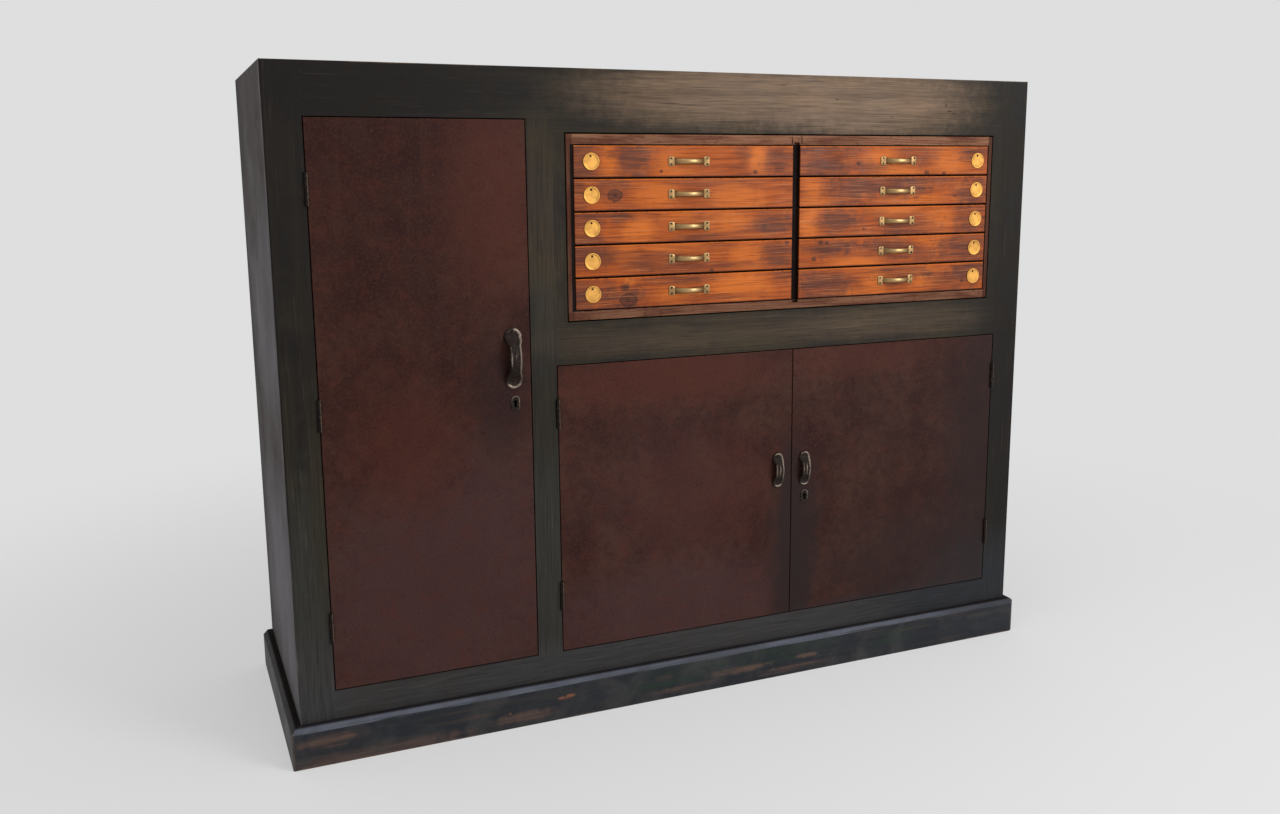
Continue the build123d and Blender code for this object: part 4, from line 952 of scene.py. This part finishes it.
def held(values):
    """Values kept from nought to one."""
    return np.clip(values, 0.0, 1.0)


def arc(z, half, reach):
    """How far a circle's arc stands off at z: reach at the middle, and nought from half outwards."""
    radius = (half ** 2 + reach ** 2) / (2.0 * reach)
    return np.clip(np.sqrt(np.clip(radius ** 2 - z ** 2, 0.0, None)) - (radius - reach), 0.0, None)


def sheet_faces(count, rows, columns, wrap):
    """Corner numbers of the quads of count grids of rows by columns, closed to tubes if they wrap."""
    row, column = np.meshgrid(np.arange(rows - 1), np.arange(columns if wrap else columns - 1), indexing="ij")
    beside = (column + 1) % columns
    quads = np.stack([row * columns + column, row * columns + beside,
                      (row + 1) * columns + beside, (row + 1) * columns + column], axis=-1).reshape(-1, 4)
    return (quads[None] + (np.arange(count) * rows * columns)[:, None, None]).reshape(-1, 4)


def make_piece(name, sheets, material, body, stands_for=()):
    """One mesh piece from sheets, each (points, wrap, worn), with points as (..., rows, columns, 3)."""
    merge, sliver, crease = 2e-6, 1e-7, math.radians(46.0)
    points, faces, worn, start = [], [], [], 0
    for grid, wrap, rub in sheets:
        rows, columns = grid.shape[-3:-1]
        flat = grid.reshape(-1, 3)
        faces.append(sheet_faces(len(flat) // (rows * columns), rows, columns, wrap) + start)
        points.append(flat)
        worn.append(np.broadcast_to(rub, grid.shape[:-1]).reshape(-1))
        start += len(flat)
    mesh = bpy.data.meshes.new(name)
    mesh.from_pydata(np.concatenate(points).tolist(), [], np.concatenate(faces).tolist())
    layer = mesh.attributes.new("worn", "FLOAT", "POINT")
    layer.data.foreach_set("value", np.concatenate(worn).astype(np.float32))
    shell = bmesh.new()
    shell.from_mesh(mesh)
    bmesh.ops.remove_doubles(shell, verts=shell.verts, dist=merge)
    bmesh.ops.dissolve_degenerate(shell, edges=shell.edges, dist=sliver)
    bmesh.ops.recalc_face_normals(shell, faces=shell.faces)
    shell.to_mesh(mesh)
    shell.free()
    mesh.shade_smooth()
    mesh.set_sharp_from_angle(angle=crease)
    mesh.materials.append(material)
    piece = bpy.data.objects.new(name, mesh)
    bpy.context.scene.collection.objects.link(piece)
    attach(piece, body)
    if stands_for:
        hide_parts(*stands_for)


def pressed(centre, half_width, half_height, exponent, profile, thickness):
    """A pressed button facing -Y: a superellipse shrunk and raised in turn by each step of its profile."""
    spokes = 40
    angle = np.linspace(0.0, 2.0 * np.pi, spokes, endpoint=False)
    c, s = np.cos(angle), np.sin(angle)
    reach = (np.abs(c) ** exponent + np.abs(s) ** exponent) ** (-1.0 / exponent)
    radii, heights, worn = np.array(profile).T[..., None]
    x = centre[0] + half_width * radii * (reach * c)
    z = centre[2] + half_height * radii * (reach * s)
    y = centre[1] - heights * thickness + 0.0 * x
    return np.stack([x, y, z], axis=-1), True, worn


def facing(places, out):
    """Places and a level direction as arrays, with the two directions across it."""
    out = np.asarray(out, dtype=float)
    up = np.array([0.0, 0.0, 1.0])
    return np.asarray(places, dtype=float)[:, None, None], out, np.cross(up, out), up


def screw_heads(places, out, radius, dome, turns):
    """Slotted heads facing out: chords of a disc raised to a dome, sunk along the slot and closed below."""
    slot, wall, rim, columns = 0.16, 0.98, 0.99, 9
    slot_sink, under_sink, top_wear = 0.25, 0.5, 0.3
    places, out, beside, up = facing(places, out)
    half = np.array([slot * wall, slot, 0.5, 0.78, 0.94, 1.0])
    chords = np.concatenate([-half[::-1], half])
    t, s = np.meshgrid(chords, np.linspace(-1.0, 1.0, columns), indexing="ij")
    p = s * np.sqrt(held(1.0 - t * t))
    rise = dome * np.sqrt(held(1.0 - (p * p + t * t) ** 2))
    rise = np.where((np.abs(t) < slot * rim) & (np.abs(s) < rim), -slot_sink * dome, rise)
    under = np.where((np.abs(s) > rim) | (np.abs(t) > rim), 0.0, -under_sink * dome)
    turns = np.asarray(turns, dtype=float)[:, None, None]
    u = radius * (p * np.cos(turns) - t * np.sin(turns))
    v = radius * (p * np.sin(turns) + t * np.cos(turns))
    flat = places + u[..., None] * beside + v[..., None] * up
    return [(flat + rise[..., None] * out, False, top_wear), (flat + under[..., None] * out, False, 0.0)]


def leaf_screws(door, side, turns):
    """The screw heads of a door's evenly spaced hinges, in the leaves on one side of their pins."""
    low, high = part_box(f"{door}_hinge_leaves")
    levels = np.linspace(low.z + LEAF_HALF, high.z - LEAF_HALF, HINGES[door])
    x = PINS[door] + side * LEAF_FACE
    places = [(x, high.y - inset, z + rise) for z in levels for inset, rise in LEAF_SCREWS]
    return screw_heads(places, (-side, 0.0, 0.0), LEAF_SCREW, LEAF_DOME, turns)


def round_pins(places, out, radius, dome):
    """Domed nail heads facing out: a half ellipse turned about its axis and closed below."""
    wear, spokes = 0.2, 14
    places, out, beside, up = facing(places, out)
    angle = np.linspace(0.0, 2.0 * np.pi, spokes, endpoint=False)[None, :, None]
    radii = np.array([0.0, 0.5, 0.85, 1.0, 1.0, 0.0])[:, None, None] * radius
    rise = np.array([1.0, 0.86, 0.5, 0.05, -0.3, -0.3])[:, None, None] * dome
    grid = radii * (np.cos(angle) * beside + np.sin(angle) * up) + rise * out
    return [(places + grid[None], True, wear)]


def bow_bar(centre, half, reach, height, thickness):
    """A half round bar bent to an arc: its D section is carried along a circle and waists at the middle."""
    stations, round_steps, flat_steps = 41, 13, 7
    flare_by, roundness, back_at, wear_by = 0.34, 0.8, -0.12, 1.1
    radius = (half * half + reach * reach) / (2.0 * reach)
    limit = math.asin(half / radius)
    turn = np.linspace(-limit, limit, stations)[:, None]
    off_middle = np.abs(turn / limit)
    section = np.linspace(0.0, np.pi, round_steps)
    front = np.stack([np.cos(section), np.sin(section) ** roundness], axis=-1)
    flat = np.linspace(-1.0, 1.0, flat_steps)[1:-1]
    back = np.stack([flat, np.full_like(flat, back_at)], axis=-1)
    loop = np.concatenate([front, back])[None]
    across = 0.5 * height * (1.0 + flare_by * off_middle ** 3) * loop[..., 0]
    outward = thickness * (loop[..., 1] - 1.0) + radius
    x = centre[0] + outward * np.sin(turn)
    y = np.minimum(centre[1] - (outward * np.cos(turn) - (radius - reach)), centre[1])
    body = np.stack([x, y, centre[2] + across], axis=-1)
    caps = [np.stack([rim, np.broadcast_to(rim.mean(axis=0), rim.shape)]) for rim in (body[0], body[-1])]
    rub = held(loop[..., 1]) ** 2 * held(wear_by - wear_by * off_middle ** 1.5)
    return [(body, True, rub)] + [(cap, True, 0.0) for cap in caps]


def bow_casting(centre, length, lobe, grip, reach, strap, pad, dome):
    """A cast door pull: a dog bone outline carried along Z, flat on the door at its ends and bowed between.
    Its front is dished inside a bead along the outline, and a dome swells along the middle of the bow."""
    stations, columns = 97, 33
    lobe_share, inner_share, edge_wear, waist, neck = 0.40, 0.82, 0.25, 0.08, 0.2
    bead_at, bead_wide, dome_wide, dome_long = 0.77, 0.21, 0.26, 0.72
    round_from, round_over, rim_share = 0.80, 0.20, 0.22
    z = 0.5 * length * np.sin(np.linspace(-0.5 * np.pi, 0.5 * np.pi, stations))
    far = np.abs(z)
    lobe_at = 0.5 * (length - lobe)
    beyond = np.clip(far - lobe_at, -0.5 * lobe, 0.5 * lobe)
    disc = np.sqrt(np.clip((0.5 * lobe) ** 2 - beyond ** 2, 0.0, None))
    stem = 0.5 * grip * (1.0 + waist * (far / lobe_at) ** 2) * held((lobe_at - far) / (neck * lobe)) ** 0.5
    half = (disc ** 6 + stem ** 6) ** (1.0 / 6.0)
    bow_half = 0.5 * length - lobe_share * lobe
    front = (arc(z, bow_half, reach) ** 4 + pad ** 4) ** 0.25
    front = front * reach / front.max()
    inner = arc(z, inner_share * bow_half, reach - strap)
    q = np.sin(np.linspace(-0.5 * np.pi, 0.5 * np.pi, columns))[None]
    x = half[:, None] * q
    tip = np.hypot(x, np.clip(far - lobe_at, 0.0, None)[:, None]) / (0.5 * lobe)
    edge = np.where((far > lobe_at)[:, None], tip, np.abs(q))
    bead = np.exp(-((edge - bead_at) / bead_wide) ** 2)
    swell = dome * np.exp(-(q / dome_wide) ** 2) * held(1.0 - (far / (dome_long * lobe_at)) ** 2)[:, None]
    fall = np.sqrt(held(1.0 - (np.clip(edge - round_from, 0.0, round_over) / round_over) ** 2))
    skirt = rim_share + (1.0 - rim_share) * fall
    rise = (front - inner)[:, None] * held(0.50 + 0.50 * bead + swell) * skirt
    across, up = centre[0] + x, centre[2] + z[:, None] + 0.0 * x
    face = np.stack([across, centre[1] - (inner[:, None] + rise), up], axis=-1)
    back = np.stack([across, centre[1] - inner[:, None] + 0.0 * x, up], axis=-1)
    edges = [np.stack([face[:, end], back[:, end]], axis=1) for end in (0, -1)]
    edges += [np.stack([face[end], back[end]]) for end in (0, -1)]
    # Worn metal on the bead and dome, with a painted highlight down the bead's right side
    rub = held(1.15 * bead * wear_and_highlight(q, (2.0 * z / length)[:, None], dome) + 1.9 * swell)
    return [(face, False, rub), (back, False, 0.0)] + [(sheet, False, edge_wear) for sheet in edges]


def wear_and_highlight(q, level, dome):
    """Where a door pull is made bright, by shares across and along it: a painted highlight down its right
    side, which faces the light, and wear where hands rub the middle of its left, its foot and, more under a
    high dome, its crown."""
    # Painted highlight down the right side, which faces the light
    right = held(0.5 + 1.5 * q) * np.clip(1.25 + level, 0.40, 1.0)
    left = held(0.5 - 1.5 * q) * (0.22 + 0.58 * np.exp(-(level / 0.38) ** 2))
    foot = 0.85 * held((-level - 0.70) / 0.14)
    crown = (0.1 + 1.4 * dome) * held((level - 0.72) / 0.16)
    return np.maximum(np.maximum(right, left), np.maximum(foot, crown))


# Operators


class CABINET_OT_groups(bpy.types.Operator):
    """Builds the shop's node groups once"""

    bl_idname = "cabinet.groups"
    bl_label = "Build Finish Groups"

    def execute(self, context):
        for build in GROUPS:
            build()
        return {"FINISHED"}


class CABINET_OT_frame(bpy.types.Operator):
    """Paints the frame, sides and plinth"""

    bl_idname = "cabinet.frame"
    bl_label = "Paint Frame"

    def execute(self, context):
        for number, (node, axis) in enumerate(FRAME_GRAIN.items()):
            coat(node, frame_paint(node, axis, seed=1.0 + number))
        for number, node in enumerate(("left_side_panel", "right_side_panel")):
            coat(node, side_paint(node, "Z", seed=11.0 + number))
        coat("top_board", side_paint("top_board", "X", seed=13.0))
        # The front's bevel is partly dust and partly a painted highlight; the returns' bevel takes soot as
        # painted shade
        coat("plinth_front", plinth_paint("plinth_front", PLINTH_CLOUDS, "plinth_bevel", seed=14.0))
        coat("plinth_returns", plinth_paint("plinth_returns", (), "soot", seed=15.0))
        return {"FINISHED"}


class CABINET_OT_doors(bpy.types.Operator):
    """Paints the three doors"""

    bl_idname = "cabinet.doors"
    bl_label = "Paint Doors"

    def execute(self, context):
        for number, node in enumerate(DOOR_CLOUDS):
            coat(node, door_paint(node, seed=21.0 + number))
        return {"FINISHED"}


class CABINET_OT_inside(bpy.types.Operator):
    """Gives the unpainted wood inside and behind its grain"""

    bl_idname = "cabinet.inside"
    bl_label = "Finish Inside"

    def execute(self, context):
        for number, (node, axis) in enumerate(INNER_GRAIN.items()):
            coat(node, inner_pine(node, axis, seed=31.0 + number))
        coat("back_boards", inner_pine("back_boards", "Z", seed=37.0, boards=14))
        coat("drawer_casing", casing_wood("drawer_casing", seed=38.0))
        runner_pine = inner_pine("drawer_runners", "Y", seed=39.0, early="casing_pine", late="pine_stain")
        coat("drawer_runners", runner_pine)
        return {"FINISHED"}


class CABINET_OT_drawers(bpy.types.Operator):
    """Varnishes the ten drawers"""

    bl_idname = "cabinet.drawers"
    bl_label = "Varnish Drawers"

    def execute(self, context):
        for number, name in enumerate(DRAWERS):
            coat(f"drawer_{name}", drawer_varnish(name, seed=41.0 + number))
        return {"FINISHED"}


class CABINET_OT_drawer_brass(bpy.types.Operator):
    """Shapes the drawers' bow pulls, tags and screws"""

    bl_idname = "cabinet.drawer_brass"
    bl_label = "Fit Drawer Brass"

    def execute(self, context):
        sizes = context.scene.cabinet_fittings
        bar_brass = aged_brass("pull_brass", "brass", "brass_worn", seed=61.0, rough=0.36)
        tag_brass = aged_brass("tag_brass", "tag_brass", "tag_brass", seed=62.0, rough=0.50)
        dark = worn_steel("dark_screws", seed=63.0, shade=0.06)
        turns = np.random.default_rng(DRAWER_TURNS).uniform(0.0, np.pi, (len(DRAWERS), 4))
        far = 0.5 * (sizes.bow_length - sizes.foot_width)
        half = 0.5 * sizes.bow_length - sizes.foot_width + FOOT_LAP
        for number, name in enumerate(DRAWERS):
            body, stands = f"drawer_{name}", (f"drawer_fittings_{name}",)
            low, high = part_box(body)
            centre = np.array((0.5 * (low.x + high.x) + sizes.bow_offset, low.y, 0.5 * (low.z + high.z)))
            sheets = bow_bar(centre, half, sizes.bow_reach, sizes.bow_height, sizes.bow_thickness)
            for side in (-far, far):
                sheets.append(pressed(
                    centre + (side, 0.0, 0.0), 0.5 * sizes.foot_width, 0.5 * sizes.foot_height, SQUARE,
                    FOOT_PROFILE, sizes.foot_thickness))
            make_piece(f"bow_pull_{name}", sheets, bar_brass, body, stands)
            fit_low, fit_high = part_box(f"drawer_fittings_{name}")
            radius = sizes.tag_radius
            tag_x = fit_low.x + radius if name[0] == "l" else fit_high.x - radius
            tag_at = np.array((tag_x, *centre[1:]))
            tag = pressed(tag_at, radius, radius, CIRCLE, TAG_PROFILE, sizes.tag_thickness)
            make_piece(f"tag_{name}", [tag], tag_brass, body, stands)
            out = far + FOOT_SCREW_OUT
            places = [centre + (side, -sizes.foot_thickness, rise)
                      for side in (-out, out) for rise in (-FOOT_SCREW_RISE, FOOT_SCREW_RISE)]
            heads = screw_heads(places, FACING_OUT, sizes.screw_radius, FOOT_DOME, turns[number])
            heads += round_pins([tag_at + TAG_PIN_OFFSET], FACING_OUT, TAG_PIN, TAG_DOME)
            make_piece(f"fixings_{name}", heads, dark, body)
        return {"FINISHED"}


class CABINET_OT_door_pulls(bpy.types.Operator):
    """Shapes the cast door pulls with their screws and finishes the escutcheons"""

    bl_idname = "cabinet.door_pulls"
    bl_label = "Fit Door Pulls"

    def execute(self, context):
        sizes = context.scene.cabinet_fittings
        dark = casting_black("pull_screws", seed=71.0)
        for number, (door, (*outline, dome)) in enumerate(DOOR_PULLS.items()):
            length, lobe, grip = (MM * part for part in outline)
            low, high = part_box(f"{door}_pull")
            centre = np.array((0.5 * (low.x + high.x), high.y, 0.5 * (low.z + high.z)))
            sheets = bow_casting(
                centre, length, lobe, grip, high.y - low.y, sizes.strap_thickness, sizes.pad_thickness, dome)
            finish = casting_black(f"casting_{door}", seed=72.0 + number)
            make_piece(f"cast_pull_{door}", sheets, finish, door, (f"{door}_pull",))
            at = 0.5 * (length - lobe)
            places = [centre + (0.0, -0.50 * sizes.pad_thickness, side) for side in (-at, at)]
            turns = (PULL_TURNS[0] + number, PULL_TURNS[1] - number)
            heads = screw_heads(places, FACING_OUT, PULL_SCREW * lobe, PULL_DOME, turns)
            if door in LOCKED_DOORS:
                plate = f"{door}_escutcheon"
                low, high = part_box(plate)
                x = 0.5 * (low.x + high.x)
                pins = [(x, low.y, z) for z in (low.z + PLATE_MARGIN, high.z - PLATE_MARGIN)]
                heads += round_pins(pins, FACING_OUT, PLATE_PIN, PLATE_DOME)
                coat(plate, casting_black(f"escutcheon_{door}", seed=76.0 + number, plate=plate))
            make_piece(f"fixings_{door}", heads, dark, door)
        return {"FINISHED"}


class CABINET_OT_ironwork(bpy.types.Operator):
    """Finishes hinges, locks and bolts and sets their screws"""

    bl_idname = "cabinet.ironwork"
    bl_label = "Fit Ironwork"

    def execute(self, context):
        solids = ["frame_hinge_leaves", "hinge_pins"]
        solids += [f"lower_left_{piece}" for piece in ("bolt_keeps", "top_bolt", "bottom_bolt")]
        solids += [f"{door}_hinge_leaves" for door in HINGES]
        solids += [f"{door}_{piece}" for door in LOCKED_DOORS for piece in ("lock_case", "lock_bolt")]
        for number, node in enumerate(solids):
            make = painted_iron if "hinge" in node else worn_steel
            coat(node, make(f"iron_{node}", seed=81.0 + number))
        steel = worn_steel("iron_screws", seed=98.0, shade=0.7)
        on_frame = []
        for number, (door, count) in enumerate(HINGES.items()):
            turns = np.random.default_rng(DOOR_TURNS + number).uniform(0.0, np.pi, count * len(LEAF_SCREWS))
            low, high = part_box(door)
            hand = math.copysign(1.0, low.x + high.x - 2.0 * PINS[door])
            sheets = leaf_screws(door, hand, turns)
            on_frame += leaf_screws(door, -hand, turns[::-1])
            if door in LOCKED_DOORS:
                low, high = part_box(f"{door}_lock_case")
                case = [(x, high.y, z) for x in (low.x + LOCK_MARGIN, high.x - LOCK_MARGIN)
                        for z in (low.z + LOCK_MARGIN, high.z - LOCK_MARGIN)]
                sheets += screw_heads(case, (0.0, 1.0, 0.0), LOCK_SCREW, LOCK_DOME, turns[:4])
            make_piece(f"iron_screws_{door}", sheets, steel, door)
        make_piece("iron_screws_frame", on_frame, steel, "carcass")
        return {"FINISHED"}


def seen_rays(bench):
    """One for the rays that show things to the eye, and nought for those that carry light to them."""
    rays = bench.wires(bench.lay("ShaderNodeLightPath"))
    return rays.is_camera_ray.most(rays.is_glossy_ray).most(rays.is_transmission_ray)


class CABINET_OT_studio(bpy.types.Operator):
    """Lays the floor, hangs the lights and sets the camera"""

    bl_idname = "cabinet.studio"
    bl_label = "Set Studio"

    def execute(self, context):
        scene, studio = context.scene, context.scene.cabinet_studio
        scene.view_settings.view_transform = "Standard"
        scene.world = bpy.data.worlds.new("studio")
        scene.world.use_nodes = True
        scene.world.node_tree.nodes.clear()
        bench = Bench(scene.world.node_tree)
        light = bench.wire("ShaderNodeBackground", 0, {"Color": (1.0, 1.0, 1.0), "Strength": studio.ambient})
        view = bench.wire("ShaderNodeBackground", 0, {"Color": studio.backdrop, "Strength": 1.0})
        mixed = bench.wire("ShaderNodeMixShader", 0, {0: seen_rays(bench), 1: light, 2: view})
        bench.lay("ShaderNodeOutputWorld", {"Surface": mixed})
        self.floor(studio)
        for name, setting in LAMPS.items():
            self.lamp(name, *setting, getattr(studio, f"{name}_power"))
        eye = bpy.data.cameras.new("eye")
        eye.lens, eye.sensor_width = studio.camera_lens, studio.camera_sensor
        eye.shift_x, eye.shift_y = studio.camera_shift
        stand = bpy.data.objects.new("eye", eye)
        scene.collection.objects.link(stand)
        stand.location, stand.rotation_euler = studio.camera_place, studio.camera_turn
        scene.camera = stand
        return {"FINISHED"}

    def floor(self, studio):
        """A flat disc of rings and spokes that fades into the backdrop towards its rim."""
        reach = np.array(FLOOR_RINGS)[:, None]
        angle = np.linspace(0.0, 2.0 * np.pi, FLOOR_SPOKES, endpoint=False)[None]
        level = np.full((len(FLOOR_RINGS), FLOOR_SPOKES), -FLOOR_DROP)
        grid = np.stack([reach * np.cos(angle), reach * np.sin(angle), level], axis=-1)
        faces = sheet_faces(1, len(FLOOR_RINGS), FLOOR_SPOKES, True)
        mesh = bpy.data.meshes.new("floor")
        mesh.from_pydata(grid.reshape(-1, 3).tolist(), [], faces.tolist())
        finish = Finish("floor", studio.floor)
        finish.feed(finish.shader, {"Base Color": finish.colour, "Roughness": 0.9, "Specular IOR Level": 0.0})
        painted = Wire(finish, finish.shader.outputs[0])
        pale = finish.wire("ShaderNodeEmission", 0, {"Color": studio.backdrop, "Strength": 1.0})
        lit = finish.wire("ShaderNodeMixShader", 0, {0: seen_rays(finish) * 0.5, 1: painted, 2: pale})
        clear = finish.wire("ShaderNodeBsdfTransparent", 0)
        at = finish.place.split()
        far = worked("LENGTH", finish.join(at.x, at.y - FLOOR_MIDDLE, 0.0))
        faded = finish.wire("ShaderNodeMixShader", 0, {0: far.ease(*FLOOR_FADE), 1: lit, 2: clear})
        finish.feed(finish.outlet, {"Surface": faded})
        mesh.materials.append(finish.material)
        floor = bpy.data.objects.new("floor", mesh)
        bpy.context.scene.collection.objects.link(floor)

    def lamp(self, name, place, aim, size, watts):
        """A rectangular soft box turned towards its aim."""
        lamp = bpy.data.lights.new(name, "AREA")
        lamp.shape, lamp.size, lamp.size_y, lamp.energy = "RECTANGLE", *size, watts
        stand = bpy.data.objects.new(name, lamp)
        bpy.context.scene.collection.objects.link(stand)
        stand.location = place
        across, ahead, up = np.subtract(aim, place)
        flat = math.hypot(across, ahead)
        stand.rotation_euler = (math.atan2(flat, -up), 0.0, math.atan2(-across, ahead))


OPERATORS = (
    CABINET_OT_groups, CABINET_OT_studio, CABINET_OT_frame, CABINET_OT_doors, CABINET_OT_inside,
    CABINET_OT_drawers, CABINET_OT_drawer_brass, CABINET_OT_door_pulls, CABINET_OT_ironwork,
)
HOLDERS = {
    "cabinet_fittings": CabinetFittings,
    "cabinet_finishes": CabinetFinishes,
    "cabinet_studio": CabinetStudio,
}


class CABINET_PT_shop(bpy.types.Panel):
    """Lists the cabinet's sizes, colours and steps"""

    bl_idname = "CABINET_PT_shop"
    bl_label = "Workshop Cabinet"
    bl_space_type = "VIEW_3D"
    bl_region_type = "UI"
    bl_category = "Cabinet"

    def draw(self, context):
        for holder in HOLDERS:
            settings = getattr(context.scene, holder)
            column = self.layout.column(align=True)
            for key in settings.bl_rna.properties.keys():
                if key not in {"rna_type", "name"}:
                    column.prop(settings, key)
        for step in OPERATORS:
            self.layout.operator(step.bl_idname)


CLASSES = (*HOLDERS.values(), *OPERATORS, CABINET_PT_shop)


def register():
    """Registers the classes and hangs the settings on the scene."""
    for item in CLASSES:
        bpy.utils.register_class(item)
    for holder, kind in HOLDERS.items():
        setattr(bpy.types.Scene, holder, PointerProperty(type=kind))


def unregister():
    """Takes the settings and classes off again."""
    for holder in HOLDERS:
        delattr(bpy.types.Scene, holder)
    for item in reversed(CLASSES):
        bpy.utils.unregister_class(item)


def main():
    """Runs every step in order."""
    register()
    bpy.ops.cabinet.groups()
    bpy.ops.cabinet.studio()
    bpy.ops.cabinet.frame()
    bpy.ops.cabinet.doors()
    bpy.ops.cabinet.inside()
    bpy.ops.cabinet.drawers()
    bpy.ops.cabinet.drawer_brass()
    bpy.ops.cabinet.door_pulls()
    bpy.ops.cabinet.ironwork()


if __name__ == "__main__":
    main()
